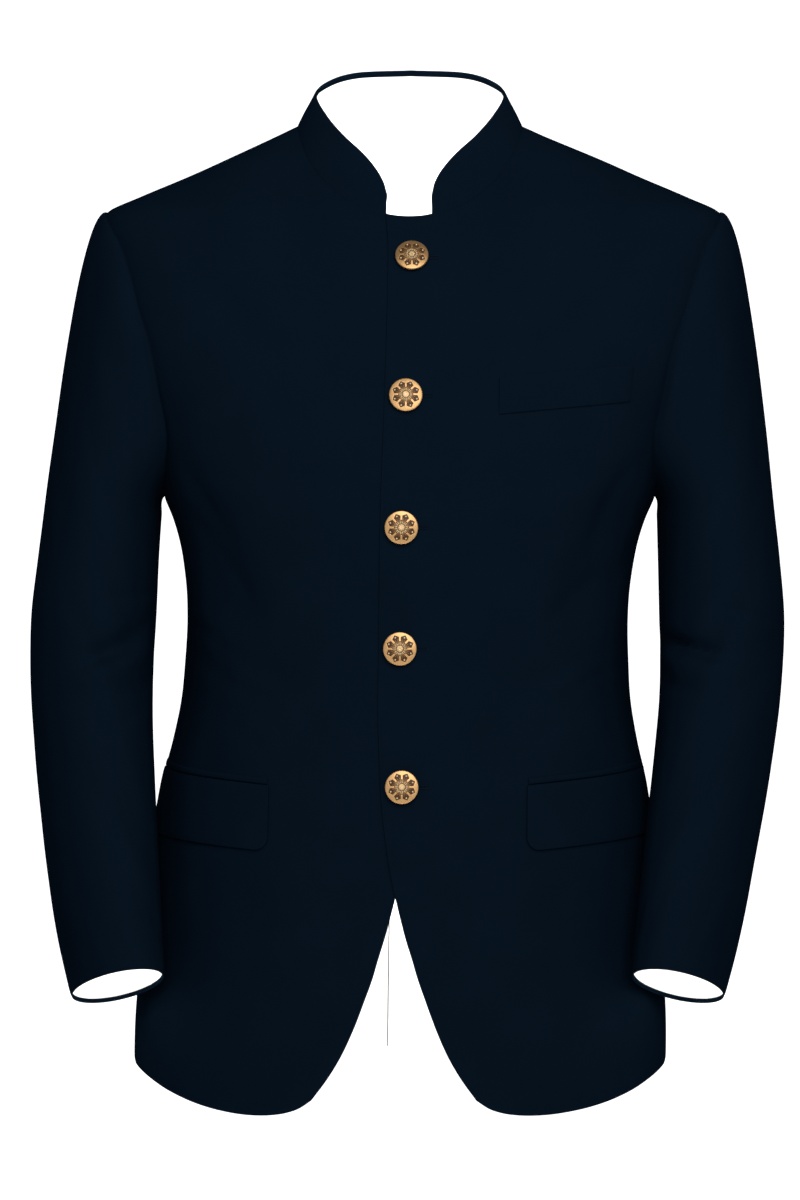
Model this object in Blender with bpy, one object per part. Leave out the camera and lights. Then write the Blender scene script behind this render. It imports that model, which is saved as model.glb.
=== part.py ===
"""Bandhgala jacket: the hollow worn form of a closed-collar coat with five domed buttons.

Lengths in the tables are millimetres; the meshes are built in metres.
X runs to the wearer's left, Y to the wearer's back and Z up. The origin lies on the middle
plane, level with the shoulder seams just outside the collar.
"""
import bpy
import numpy as np

for thing in list(bpy.data.objects):
    bpy.data.objects.remove(thing, do_unlink=True)

MM = 0.001

# Thicknesses and spaces
WALL = 1.8            # cloth with its canvas
LINING_WALL = 1.0
FLAP_WALL = 1.6
COLLAR_WALL = 2.0
SEAM = 0.3            # space between neighbouring pieces
LAID = 0.7            # space under the welt, which crosses the bends of the chest
WELT_WALL = 1.4
LAP_RISE = 2.25       # how far the upper front stands over the lower front

# Stance
LEAN = 0.0135         # sideways drift of the hanging jacket per unit of height
SHOULDER_SHIFT, NECK_SHIFT = 1.4, -2.2
SLEEVE_SWING = -2.4   # how far both cuffs hang aside

# Front closing: where the upper front comes down to the body again
LAP_FADE_FROM, LAP_FADE_TO = 24.0, 62.0

# Seams and vent
SIDE_SEAM_BACK = 18.0     # side seam behind the widest line of the body
HEM = -697.0
VENT_TOP = -478.0
VENT_LAP = 10.0           # each back reaches this far past the middle in the vent
VENT_SET_IN = 3.8         # the wearer's left back tucks in by this much in the vent
VENT_EASE = 26.0          # and starts to do so this far above it

COLLAR_RIM = 4.6          # cloth that shows above the collar's lining

# Pocket flaps and jets on the skirt, breast welt
FLAP_FROM, FLAP_LONG, FLAP_TALL, FLAP_CORNER = 96.0, 138.0, 48.0, 11.0
FLAP_TOP, FLAP_RISE = -490.0, 0.089
JET_TALL = 5.0
WELT = dict(inner=66.0, outer=167.0, top_inner=-191.6, rise=0.103, tall=26.5)

# Buttons
BUTTON_RADIUS, BUTTON_THICK, BUTTON_DOME = 12.3, 2.6, 1.7
BUTTON_LIFT, SHANK_RADIUS = 1.5, 3.2


class Table:
    """Short table with named columns, read along a smooth curve through its rows."""

    def __init__(self, names, rows):
        self.names = names.split()
        self.rows = np.array(sorted(rows), float)

    def at(self, name, key):
        return smooth(self.rows[:, 0], self.rows[:, self.names.index(name)], key)


def smooth(keys, values, key):
    """Cubic curve through the rows with parabolic slopes, straight beyond its ends."""
    key = np.asarray(key, float)
    step = np.diff(keys)
    slope = np.diff(values) / step
    middle = (slope[:-1] * step[1:] + slope[1:] * step[:-1]) / (step[1:] + step[:-1])
    tangent = np.concatenate([slope[:1], middle, slope[-1:]])
    i = np.clip(np.searchsorted(keys, key, side="right") - 1, 0, len(step) - 1)
    t = (key - keys[i]) / step[i]
    inside = np.clip(t, 0, 1)
    a, b = values[i], values[i + 1]
    da, db = tangent[i] * step[i], tangent[i + 1] * step[i]
    curve = (a + inside * da + inside ** 2 * (3 * (b - a) - 2 * da - db)
             + inside ** 3 * (2 * (a - b) + da + db))
    return curve + np.where(t < 0, t * da, 0) + np.where(t > 1, (t - 1) * db, 0)


def ease(t):
    """Smooth step from 0 to 1."""
    t = np.clip(t, 0, 1)
    return t * t * (3 - 2 * t)


BODY = Table("height half_width front back ridge front_round back_round", (
    (12, 64, 4, 47, 10, 2.2, 2.2),
    (0, 90, -8, 56, 10, 2.2, 2.2),
    (-20, 134, -26, 72, 10, 2.2, 2.2),
    (-36, 169.3, -39, 82, 9.5, 2.2, 2.2),
    (-52, 206.6, -53, 90, 8, 2.2, 2.2),
    (-62, 229, -62, 95, 7, 2.2, 2.25),
    (-72, 234, -70, 99, 6, 2.2, 2.25),
    (-90, 236, -83, 105, 5, 2.2, 2.3),
    (-115, 235, -97, 111, 3, 2.25, 2.35),
    (-135, 232.5, -105, 115, 2, 2.3, 2.4),
    (-170, 222, -116, 119.5, 1, 2.35, 2.45),
    (-200, 210.5, -123, 121.5, 0, 2.4, 2.5),
    (-233, 197, -128, 122, 0, 2.4, 2.5),
    (-255, 190, -130, 121, 0, 2.4, 2.45),
    (-276, 184, -131, 119.5, 0, 2.4, 2.4),
    (-294, 176.5, -131, 117, 0, 2.4, 2.4),
    (-314, 170.3, -130, 113.5, 0, 2.38, 2.35),
    (-339, 166.3, -128.5, 109, 0, 2.35, 2.3),
    (-369, 165, -126.5, 106, 0, 2.32, 2.25),
    (-399, 166, -126, 105, 0, 2.3, 2.25),
    (-429, 168.3, -127, 107.5, 0, 2.3, 2.25),
    (-459, 174, -129, 112, 0, 2.3, 2.3),
    (-489, 181.6, -130.5, 116.5, 0, 2.25, 2.3),
    (-519, 186.5, -131.5, 120, 0, 2.2, 2.3),
    (-579, 192, -132.5, 125, 0, 2.15, 2.3),
    (-640, 197, -133, 127, 0, 2.15, 2.3),
    (-670, 198.8, -133, 128, 0, 2.2, 2.3),
    (-740, 199, -133, 128, 0, 2.25, 2.3)))

# Middle line of the front closing and how far each front's edge passes it
FRONT_EDGE = Table("height middle past", (
    (-69, -0.8, 16.2), (-130, -1.2, 15.6), (-205, -2.4, 15.5), (-300, -4.4, 15.5),
    (-390, -4.3, 15.4), (-440, -4.3, 15.2), (-470, -4.3, 14.0), (-498, -4.6, 12.0),
    (-524, -4.9, 8.9), (-546, -5.1, 5.4), (-570, -5.2, 0.4), (-588, -5.1, -4.0),
    (-603, -5.0, -8.0), (-617, -4.8, -12.4), (-632, -4.6, -16.8), (-646, -4.5, -21.9),
    (-661, -4.4, -27.4), (-676, -4.4, -33.6), (-690, -4.4, -40.4), (-705, -4.4, -49.6),
    (-720, -4.4, -60.8)))

# Lower edge of a front, from the tip of its curve round to the side seam
FRONT_HEM = Table("reach height", (
    (60.8, -720), (70, -726), (80, -729.4), (92, -731.2), (106, -731.6), (137, -728.4),
    (160, -723.6), (185, -716.5), (210, -708.5), (235, -702), (260, -698.5), (286, -697)))

# Neck seam and top edge of the collar, from a front end (0) to the middle of the back (9)
COLLAR = Table("step seam_x seam_height top_x top_y top_height", (
    (0, 17, -69, 16.9, -62.5, -54),
    (1, 28, -65.4, 19, -57, -44),
    (2, 38, -61, 25, -50, -33),
    (3, 52, -52, 35, -42.5, -21),
    (4, 67, -37, 50, -30, -6.5),
    (5, 78.5, -19, 63, -12.5, 9.5),
    (6, 84, 2.7, 71.4, 9, 26.5),
    (7, 72, 4.2, 62.5, 28.5, 37.5),
    (8, 44, 5.8, 40.5, 42.5, 45),
    (9, 0, 6.5, 0, 50, 47.2)))

# Armhole seen from the side, by degrees round it: top, front, armpit, back
ARMHOLE = Table("turn y height", (
    (-20, 31, -74), (0, 7, -63), (20, -17, -73.5), (40, -38, -97), (60, -55, -129),
    (80, -66, -166), (100, -68.5, -202), (120, -63, -233), (140, -47, -257),
    (160, -25, -271), (180, 1, -276), (200, 27, -271.5), (220, 50, -256), (240, 67, -230),
    (260, 75, -197), (280, 75, -160), (300, 66.5, -126), (320, 51, -96), (340, 31, -74),
    (360, 7, -63), (380, -17, -73.5)))

# Sleeve below the armpit: outer and inner line seen from the front, middle seen from the
# side, half depth, and how far the ring is tipped forward, dropped outward and toed in
SLEEVE = Table("height outer inner y depth tip drop toe", (
    (-290, 274.4, 185.6, 2, 73, 0, 0, 0),
    (-324, 278, 187, -3, 70, 4, 0, 0),
    (-369, 281.8, 188.2, -11, 66, 8, 0, 0),
    (-399, 281.3, 189.2, -17, 64, 10, 1, 2),
    (-429, 279.4, 188.8, -25, 62.5, 12, 2, 5),
    (-458, 276, 187, -34, 61, 14, 3, 8),
    (-488, 272, 184.4, -44, 59.5, 15, 4, 10),
    (-517, 267.3, 181.6, -54, 58, 15.5, 5, 12),
    (-547, 262.3, 179, -63, 56, 15.5, 5, 14),
    (-576, 257, 176.4, -72, 54.5, 15.5, 6, 16),
    (-605, 250.7, 174, -81, 53, 15.5, 6, 17),
    (-638.5, 241.8, 171, -90, 51.5, 15.5, 8, 18)))
SLEEVE_TOP, SLEEVE_END = -290.0, -638.5
FOREARM_SEAM, HINDARM_SEAM = 198.0, 286.0    # degrees round the sleeve from its outer line

BUTTONS = Table("number aside height", (
    (1, 0.6, -103), (2, -2.5, -205), (3, -4.4, -300.8), (4, -4.3, -389.6), (5, -1.6, -490.8)))

# Folds of the body: soft ridges (+) and troughs (-) along lines seen from the front or back
FOLDS = [dict(zip("face side x0 z0 x1 z1 width depth".split(), row)) for row in (
    ("front", 1, 158, -262, 112, -372, 15, -2.6),
    ("front", 1, 172, -300, 138, -402, 13, 2.0),
    ("front", -1, 160, -268, 106, -380, 16, -2.4),
    ("front", -1, 170, -306, 132, -410, 13, 2.2),
    ("front", 1, 150, -388, 88, -420, 12, -1.6),
    ("front", -1, 152, -396, 84, -415, 12, -1.8),
    ("front", 1, 128, -560, 140, -700, 22, 2.2),
    ("front", -1, 132, -570, 142, -700, 20, 1.8),
    ("back", 1, 128, -110, 140, -300, 17, 3.0),
    ("back", -1, 126, -118, 142, -292, 18, 2.8),
    ("back", 1, 140, -372, 70, -400, 14, -2.2),
    ("back", -1, 138, -382, 66, -396, 14, -2.4),
    ("back", 1, 96, -520, 112, -696, 24, 3.0),
    ("back", -1, 104, -530, 110, -696, 22, 2.6))]

# Folds of the sleeves by degrees round and height
SLEEVE_FOLDS = [dict(zip("side turn0 z0 turn1 z1 width depth".split(), row)) for row in (
    (1, 75, -384, 165, -372, 9, -2.6),
    (1, 60, -404, 150, -392, 9, 1.6),
    (1, 100, -424, 160, -412, 8, -1.8),
    (-1, 70, -388, 160, -366, 9, -2.8),
    (-1, 62, -408, 150, -390, 9, 1.5),
    (-1, 105, -424, 165, -416, 8, -1.6),
    (1, 70, -120, 110, -260, 15, 2.0),
    (-1, 66, -124, 108, -262, 15, 2.2),
    (1, 250, -130, 262, -280, 16, 2.4),
    (-1, 248, -126, 262, -276, 16, 2.2))]

# Horizontal sections of the body, kept at even steps of height and of length round
LOW, HIGH, LEVELS, STEPS = -760.0, 12.0, 387, 96


def section_tables():
    """Half sections as superellipses, cut into even lengths from middle to ridge line."""
    heights = np.linspace(LOW, HIGH, LEVELS)
    quarter = np.linspace(0, np.pi / 2, 241)
    width, ridge = BODY.at("half_width", heights), BODY.at("ridge", heights)
    points, lengths = [], []
    for face in ("front", "back"):
        depth = BODY.at(face, heights) - ridge
        power = 2 / BODY.at(face + "_round", heights)[:, None]
        x = width[:, None] * np.sin(quarter) ** power
        y = ridge[:, None] + depth[:, None] * np.cos(quarter) ** power
        run = np.hypot(np.diff(x), np.diff(y)).cumsum(axis=1)
        run = np.hstack([np.zeros((LEVELS, 1)), run])
        even = run[:, -1:] * np.linspace(0, 1, STEPS + 1)
        points.append([np.stack([np.interp(e, r, a), np.interp(e, r, b)], axis=1)
                       for e, r, a, b in zip(even, run, x, y)])
        lengths.append(run[:, -1])
    front, back = np.array(points[0]), np.array(points[1])
    round_body = np.concatenate([front, back[:, -2::-1]], axis=1)
    return heights, round_body, lengths[0], lengths[1]


HEIGHTS, ROUND, FRONT_LENGTH, BACK_LENGTH = section_tables()


def length(face, height):
    """Length of a half section from its middle to the ridge line."""
    return np.interp(height, HEIGHTS, FRONT_LENGTH if face == "front" else BACK_LENGTH)


def turn_of(face, reach, height):
    """Place round the body: 0 at the middle of the front, 1 on the ridge, 2 at the back."""
    near, far = length(face, height), length("back" if face == "front" else "front", height)
    turn = np.where(reach <= near, reach / near, 1 + (reach - near) / far)
    return turn if face == "front" else 2 - turn


def bare(turn, height):
    """Point of the smooth body surface on its +X half, mirrored past either middle."""
    sign = np.where((turn < 0) | (turn > 2), -1.0, 1.0)
    turn = np.abs(turn)
    turn = np.where(turn > 2, 4 - turn, turn)
    level = np.clip((height - LOW) / (HIGH - LOW) * (LEVELS - 1), 0, LEVELS - 1.001)
    place = np.clip(turn * STEPS, 0, 2 * STEPS - 0.001)
    level, place = np.nan_to_num(level), np.nan_to_num(place)
    i, j = level.astype(int), place.astype(int)
    a, b = (level - i)[..., None], (place - j)[..., None]
    xy = ((1 - a) * ((1 - b) * ROUND[i, j] + b * ROUND[i, j + 1])
          + a * ((1 - b) * ROUND[i + 1, j] + b * ROUND[i + 1, j + 1]))
    return np.stack([xy[..., 0] * sign, xy[..., 1], height], axis=-1)


def unit(vector):
    return vector / np.maximum(np.linalg.norm(vector, axis=-1, keepdims=True), 1e-9)


def bare_normal(turn, height):
    across = bare(turn + 0.02, height) - bare(turn - 0.02, height)
    up = bare(turn, np.minimum(height + 3, HIGH)) - bare(turn, np.minimum(height + 3, HIGH) - 6)
    return unit(np.cross(across, up))


def fold_height(face, side, point):
    """Sum of the soft folds of one face at points of the smooth body."""
    total = np.zeros(point.shape[:-1])
    x, y, z = point[..., 0], point[..., 1], point[..., 2]
    weight = ease(-y / 40) if face == "front" else ease(y / 40)
    for fold in FOLDS:
        if fold["face"] != face or fold["side"] != side:
            continue
        dx, dz = fold["x1"] - fold["x0"], fold["z1"] - fold["z0"]
        span = np.hypot(dx, dz)
        along = ((x - fold["x0"]) * dx + (z - fold["z0"]) * dz) / span ** 2
        aside = ((x - fold["x0"]) * dz - (z - fold["z0"]) * dx) / span
        taper = np.exp(-(np.maximum(np.abs(along - 0.5) - 0.25, 0) * 3.6) ** 2)
        total = total + fold["depth"] * taper * np.exp(-(aside / fold["width"]) ** 2)
    return total * weight


def skin(face, side, reach, height, out=0.0):
    """Point of one half of the dressed body, a distance outside its cloth surface.

    side is 1 for the wearer's left half. reach runs from the middle of the face round to
    the side, negative past the middle. The upper front rises over the lower one.
    """
    reach, height = np.broadcast_arrays(np.asarray(reach, float), np.asarray(height, float))
    turn = turn_of(face, reach, height)
    point, normal = bare(turn, height), bare_normal(turn, height)
    rise = out + fold_height(face, side, point)
    if face == "front" and side == 1:
        beside = 1 - ease((reach - LAP_FADE_FROM) / (LAP_FADE_TO - LAP_FADE_FROM))
        rise = rise + LAP_RISE * beside * ease((height + 640) / 70)
    if face == "back" and side == 1:
        beside = 1 - ease((reach - 14) / 22)
        rise = rise - VENT_SET_IN * beside * ease((VENT_TOP + VENT_EASE - height) / 18)
    return stand((point + normal * rise[..., None]) * (side, 1, 1))


def stand(point, swing=0.0):
    """Symmetric shape brought to the stance of the hanging jacket.

    It drifts sideways with height, its neck sits a little to one side of its shoulders, and
    swing carries the lower end of a sleeve aside.
    """
    x, z = np.abs(point[..., 0]), point[..., 2]
    wide = ease((x - 75) / 85)
    aside = (LEAN * z + SHOULDER_SHIFT * wide * ease((z + 560) / 260)
             + NECK_SHIFT * (1 - wide) * ease((z + 95) / 35)
             + swing * ease((-400 - z) / 230))
    return point + aside[..., None] * (1, 0, 0)


def reach_at(face, height, x=None, y=None):
    """How far round a section lies the point with a given x or y."""
    reaches = []
    for h, value in zip(np.atleast_1d(height), np.atleast_1d(x if y is None else y)):
        h = min(h, HIGH)
        if y is None:
            turns = np.linspace(0, 1, STEPS + 1)
            turns = turns if face == "front" else 2 - turns
            xs = bare(turns, np.full(turns.shape, h))[:, 0]
            reaches.append(length(face, h) * np.interp(abs(value), xs, np.linspace(0, 1, STEPS + 1))
                           * np.sign(value))
        else:
            turns = np.linspace(0, 2, 2 * STEPS + 1)
            ys = bare(turns, np.full(turns.shape, h))[:, 1]
            turn = np.interp(value, ys, turns)
            turn = turn if face == "front" else 2 - turn
            other = "back" if face == "front" else "front"
            reaches.append(turn * length(face, h) if turn <= 1
                           else length(face, h) + (turn - 1) * length(other, h))
    return np.array(reaches)


def even(curve, at, start=0.0, stop=1.0):
    """Curve of 2-D points read at shares of its length, or at a number of even steps."""
    run = np.hypot(*np.diff(curve, axis=0).T).cumsum()
    run = np.concatenate([[0], run]) / run[-1]
    at = np.linspace(0, 1, at) if np.isscalar(at) else at
    at = start + (stop - start) * at
    return np.stack([np.interp(at, run, curve[:, k]) for k in (0, 1)], axis=1)


def closer(columns, pull=0.35):
    """Shares from 0 to 1 that draw closer together toward 1."""
    t = np.linspace(0, 1, columns + 1)
    return t * (1 + pull * (1 - t))


def patch(bottom, top, left, right, shares=None):
    """Grid between four edge curves, each edge blended across the patch."""
    u = np.linspace(0, 1, len(bottom))[None, :, None]
    v = (np.linspace(0, 1, len(left)) if shares is None else shares)[:, None, None]
    corners = ((1 - u) * (1 - v) * bottom[0] + u * (1 - v) * bottom[-1]
               + (1 - u) * v * top[0] + u * v * top[-1])
    return ((1 - v) * bottom + v * top + (1 - u) * left[:, None] + u * right[:, None] - corners)


def armhole_line(face, turn_from, turn_to, count):
    """Armhole edge of a panel as reach and height."""
    turns = np.linspace(turn_from, turn_to, count)
    heights = ARMHOLE.at("height", turns)
    return np.stack([reach_at(face, heights, y=ARMHOLE.at("y", turns)), heights], axis=1)


ARMPIT_TURN = 193.0     # where the side seam meets the armhole
CORNER_TURN = {"front": 143.0, "back": 226.0}    # where a panel's upper rows meet it
TIP_TURN = {"front": 0.0, "back": 360.0}


def side_line(face, low, count):
    """Side seam from the hem to the armhole as reach and height."""
    top = ARMHOLE.at("height", ARMPIT_TURN)
    heights = np.linspace(low, top, count)
    meet = reach_at(face, top, y=ARMHOLE.at("y", ARMPIT_TURN))[0]
    behind = meet - length(face, top)
    reach = length(face, heights) + np.sign(behind) * (
        SIDE_SEAM_BACK + (abs(behind) - SIDE_SEAM_BACK) * ease((heights + 330) / 54))
    return np.stack([reach - SEAM / 2, heights], axis=1)


def shoulder_line(face, count):
    """Shoulder seam from the neck to the armhole as reach and height."""
    heights = np.linspace(COLLAR.at("seam_height", 6), ARMHOLE.at("height", 0.0), count)
    return np.stack([length(face, heights) - SEAM / 2, heights], axis=1)


FRONT_NECK_STEPS = (0, 1, 2, 3, 4, 5, 6)
BACK_NECK_STEPS = (9, 8.4, 7.8, 7.2, 6.6, 6)


def neck_line(face, side):
    """Neck edge of a panel from its middle to the shoulder seam as reach and height."""
    steps = np.array(FRONT_NECK_STEPS if face == "front" else BACK_NECK_STEPS, float)
    x, heights = COLLAR.at("seam_x", steps), COLLAR.at("seam_height", steps)
    reach = reach_at(face, heights, x=np.maximum(x, 0.01))
    reach[-1] = length(face, heights[-1]) - SEAM / 2
    if face == "back":
        reach[0] = SEAM / 2
        return np.stack([reach, heights], axis=1)
    edge = side * FRONT_EDGE.at("middle", -69.0) - FRONT_EDGE.at("past", -69.0)
    lead = np.stack([np.linspace(edge, reach[0], 3)[:-1], np.full(2, heights[0])], axis=1)
    return np.vstack([lead, np.stack([reach, heights], axis=1)])


def edge_line(side, low, high, count):
    """Front edge as reach and height."""
    heights = np.linspace(low, high, count)
    reach = side * FRONT_EDGE.at("middle", heights) - FRONT_EDGE.at("past", heights)
    return np.stack([reach, heights], axis=1)


def upper_rows(face, line, neck, high_rows, wide):
    """Rows between the armpit row, the neck, the shoulder seam and the armhole."""
    shoulder = shoulder_line(face, 60)
    armhole = armhole_line(face, CORNER_TURN[face], TIP_TURN[face], 60)
    armhole[0], armhole[-1] = line[-1], shoulder[-1]
    top = np.vstack([neck, even(shoulder, wide - len(neck) + 2)[1:]])
    return top, even(armhole, closer(high_rows, 0.55))


def front_grid(side, columns=18, wide=14, low_rows=14, high_rows=10):
    """Reach and height of a front panel's points from the hem up, and its width above.

    The rows above the armpit are wide columns across; the others end at the side seam.
    """
    neck = neck_line("front", side)
    corner = FRONT_HEM.rows[0, 1]
    hem_reach = np.linspace(FRONT_HEM.rows[0, 0], FRONT_HEM.rows[-1, 0], 60)
    hem = np.stack([hem_reach, FRONT_HEM.at("height", hem_reach)], axis=1)
    edge = edge_line(side, corner, -69.0, 260)
    hem[:, 0] += (edge[0, 0] - hem[0, 0]) * (1 - ease((hem_reach - hem_reach[0]) / 130))
    seam = side_line("front", HEM, 120)
    hem[-1] = seam[0]
    hem = even(hem, closer(columns))
    part = 0.715
    left_low = even(edge, low_rows + 1, 0, part)
    left_high = even(edge, closer(high_rows, 0.55), part, 1)
    armpit = armhole_line("front", CORNER_TURN["front"], ARMPIT_TURN, 30)
    armpit[-1] = seam[-1]
    line = even(np.stack([left_low[-1], armpit[0]]), closer(wide, 0.2))
    middle = np.vstack([line, even(armpit, columns - wide + 1)[1:]])
    low = patch(hem, middle, left_low, even(seam, low_rows + 1))
    top, right = upper_rows("front", line, neck, high_rows, wide)
    high = np.full((high_rows + 1, columns + 1, 2), np.nan)
    high[:, :wide + 1] = patch(line, top, left_high, right, closer(high_rows, 0.55))
    return np.vstack([low, high[1:]]), wide


def back_grid(columns=14, wide=11, low_rows=13, high_rows=9):
    """Reach and height of a back panel's points from the hem up, and its width above.

    The lower rows are level so that one of them can open the vent.
    """
    seam = side_line("back", HEM, 120)
    armpit = armhole_line("back", CORNER_TURN["back"], ARMPIT_TURN, 30)
    armpit[-1] = seam[-1]
    vent_rows = 7
    share = np.concatenate([np.linspace(0, 1, vent_rows + 1) * (VENT_TOP - HEM), [VENT_TOP + 5 - HEM],
                            np.linspace(VENT_TOP, armpit[0, 1], low_rows - vent_rows + 1)[1:] - HEM])
    share = share / (armpit[0, 1] - HEM)
    heights = HEM + share * (armpit[0, 1] - HEM)
    past = np.where(heights <= VENT_TOP + 0.01, -VENT_LAP, SEAM / 2)
    left = np.stack([past, heights], axis=1)
    line = even(np.stack([left[-1], armpit[0]]), closer(wide, 0.2))
    middle = np.vstack([line, even(armpit, columns - wide + 1)[1:]])
    right = even(seam, share)
    hem = even(np.stack([left[0], seam[0]]), closer(columns))
    v, u = share[:, None, None], np.linspace(0, 1, columns + 1)[None, :, None]
    low = (1 - v) * hem + v * middle
    low = low + (1 - u) * (left - low[:, 0])[:, None] + u * (right - low[:, -1])[:, None]
    neck = neck_line("back", 1)
    top, right = upper_rows("back", line, neck, high_rows, wide)
    rise = even(np.stack([left[-1], neck[0]]), closer(high_rows, 0.55))
    high = np.full((high_rows + 1, columns + 1, 2), np.nan)
    high[:, :wide + 1] = patch(line, top, rise, right, closer(high_rows, 0.55))
    return np.vstack([low, high[1:]]), wide


def short_cut(grid):
    """Which diagonal of each cell is the shorter: true from its first corner to its third."""
    first = np.linalg.norm(grid[:-1, :-1] - grid[1:, 1:], axis=-1)
    second = np.linalg.norm(grid[:-1, 1:] - grid[1:, :-1], axis=-1)
    return first <= second


class Sheet:
    """Grid of a cut piece: its points on the cloth and the way out of the cloth at each."""

    def __init__(self, points, normals):
        self.points, self.normals = points, normals

    def read(self, values, row, column):
        """Values at a place between rows and columns, on the flat halves of each cell."""
        row, column = np.broadcast_arrays(row, column)
        i = np.clip(np.nan_to_num(row).astype(int), 0, values.shape[0] - 2)
        j = np.clip(np.nan_to_num(column).astype(int), 0, values.shape[1] - 2)
        i = np.where(np.isnan(self.points[i + 1, j, 0]), i - 1, i)
        j = np.where(np.isnan(self.points[i + 1, j + 1, 0]), j - 1, j)
        a, b, cut = row - i, column - j, short_cut(self.points)[i, j]
        if values.ndim == 3:
            a, b, cut = a[..., None], b[..., None], cut[..., None]
        near, right, far, above = (values[i, j], values[i, j + 1], values[i + 1, j + 1],
                                   values[i + 1, j])
        first = np.where(b >= a, near + b * (right - near) + a * (far - right),
                         near + a * (above - near) + b * (far - above))
        second = np.where(a + b <= 1, near + b * (right - near) + a * (above - near),
                          far + (1 - b) * (above - far) + (1 - a) * (right - far))
        return np.where(cut, first, second)

    def at(self, row, column, out=0.0):
        """Point moved out from the piece's own faces."""
        return self.read(self.points, row, column) + out * self.read(self.normals, row, column)


class Panel(Sheet):
    """Front or back of one side, with the reach and height of each of its points."""

    def __init__(self, face, side):
        grid, self.wide = front_grid(side) if face == "front" else back_grid()
        self.armpit = int(np.argmax(np.isnan(grid[:, -1, 0]))) - 1
        self.reach, self.height = grid[..., 0], grid[..., 1]
        points = skin(face, side, self.reach, self.height)
        super().__init__(points, skin(face, side, self.reach, self.height, 1.0) - points)
        self.points[np.isnan(self.height)] = np.nan

    def row_at(self, column, height):
        """Row on which a column passes a height."""
        rows = np.arange(self.height.shape[0], dtype=float)
        found = np.empty(np.shape(height))
        for k, c in np.ndenumerate(column):
            line = self.read(self.height, rows, np.full(rows.shape, c))
            found[k] = np.interp(height[k], line, rows)
        return found

    def column_at(self, reach, height):
        """Column that passes a place given by reach and height."""
        columns = np.arange(self.reach.shape[1], dtype=float)
        rows = self.row_at(columns, np.full(columns.shape, height))
        return float(np.interp(reach, self.read(self.reach, rows, columns), columns))

    def strip(self, reach_from, reach_to, low, high, shares, more=()):
        """Rows and columns of a piece laid between two reaches, bent where the panel bends.

        low and high give its lower and upper height at a reach. The shares place its rows:
        0 on the lower edge, 1 on the upper one, and past 1 that many millimetres above it.
        more adds columns, as reaches past its inner end.
        """
        middle = (low(reach_to) + high(reach_from)) / 2
        ends = [self.column_at(r, middle) for r in (reach_from, reach_to)]
        extra = [self.column_at(reach_from + r, middle) for r in more]
        inside = [c for c in range(int(ends[0]) + 1, int(np.ceil(ends[1])))
                  if min(abs(c - e) for e in ends + extra) > 0.12]
        column = np.array(sorted(ends + extra + inside))
        mid_rows = self.row_at(column, np.full(column.shape, middle))
        reach = np.clip(self.read(self.reach, mid_rows, column), reach_from, reach_to)
        t = np.asarray(shares, float)[:, None]
        height = (low(reach) + np.minimum(t, 1) * (high(reach) - low(reach))
                  + np.maximum(t - 1, 0))
        column = np.broadcast_to(column, height.shape)
        return self.row_at(column, height), column


# Sleeves

def armhole_point(turn):
    """Point of the armhole seam on the +X side."""
    turn = np.mod(turn, 360)
    y, z = ARMHOLE.at("y", turn), ARMHOLE.at("height", turn)
    ridge, width = BODY.at("ridge", z), BODY.at("half_width", z)
    front = y < ridge
    depth = np.where(front, ridge - BODY.at("front", z), BODY.at("back", z) - ridge)
    power = np.where(front, BODY.at("front_round", z), BODY.at("back_round", z))
    x = width * (1 - (np.abs(y - ridge) / depth) ** power) ** (1 / power)
    return np.stack([x, y, z], axis=-1)


def sleeve_ring(turn, height):
    """Point of the sleeve below the armpit: an ellipse, tipped, dropped and toed in."""
    tip, drop, toe = (np.radians(SLEEVE.at(name, height)) for name in ("tip", "drop", "toe"))
    outer, inner = SLEEVE.at("outer", height), SLEEVE.at("inner", height)
    half, deep = (outer - inner) / 2, SLEEVE.at("depth", height)
    narrow = np.sqrt(half ** 2 - (deep * np.sin(toe)) ** 2) / np.cos(toe)
    angle = np.radians(turn)
    across, ahead = narrow * np.cos(angle), deep * np.sin(angle)
    x = across * np.cos(toe) - ahead * np.sin(toe)
    forward = across * np.sin(toe) + ahead * np.cos(toe)
    return np.stack([(outer + inner) / 2 + x * np.cos(drop),
                     SLEEVE.at("y", height) - forward * np.cos(tip),
                     height + forward * np.sin(tip) - x * np.sin(drop)], axis=-1)


def sleeve_cap(turn, t):
    """Sleeve between armhole (t = 0) and armpit level (t = 1): a cubic curve per turn."""
    start = armhole_point(turn) + (0.45, 0, 0)
    end = sleeve_ring(turn, np.full(np.shape(turn), SLEEVE_TOP))
    below = sleeve_ring(turn, np.full(np.shape(turn), SLEEVE_TOP - 8))
    angle = np.radians(turn)
    top = ease((np.cos(angle) + 1) / 2)[..., None]
    span = np.linalg.norm(end - start, axis=-1, keepdims=True)
    leave = unit((1 - top) * np.stack([0.9 + 0 * angle, -0.5 * np.sin(angle), -0.8 + 0 * angle], -1)
                 + top * np.stack([0.95 + 0 * angle, -0.55 * np.sin(angle), 0.3 + 0 * angle], -1))
    first = start + leave * np.minimum(16 - top, 0.35 * span)
    second = end + unit(end - below) * span * (0.34 + 0.3 * top)
    t = np.asarray(t)[..., None]
    return ((1 - t) ** 3 * start + 3 * t * (1 - t) ** 2 * first
            + 3 * t ** 2 * (1 - t) * second + t ** 3 * end)


def sleeve_point(turn, row):
    """Sleeve surface: rows 0 to 1 over the cap, 1 to 2 from the armpit to the cuff."""
    turn, row = np.broadcast_arrays(np.asarray(turn, float), np.asarray(row, float))
    cap = sleeve_cap(turn, np.clip(row, 0, 1))
    ring = sleeve_ring(turn, SLEEVE_TOP + (SLEEVE_END - SLEEVE_TOP) * np.clip(row - 1, 0, 1))
    return np.where((row <= 1)[..., None], cap, ring)


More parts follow.
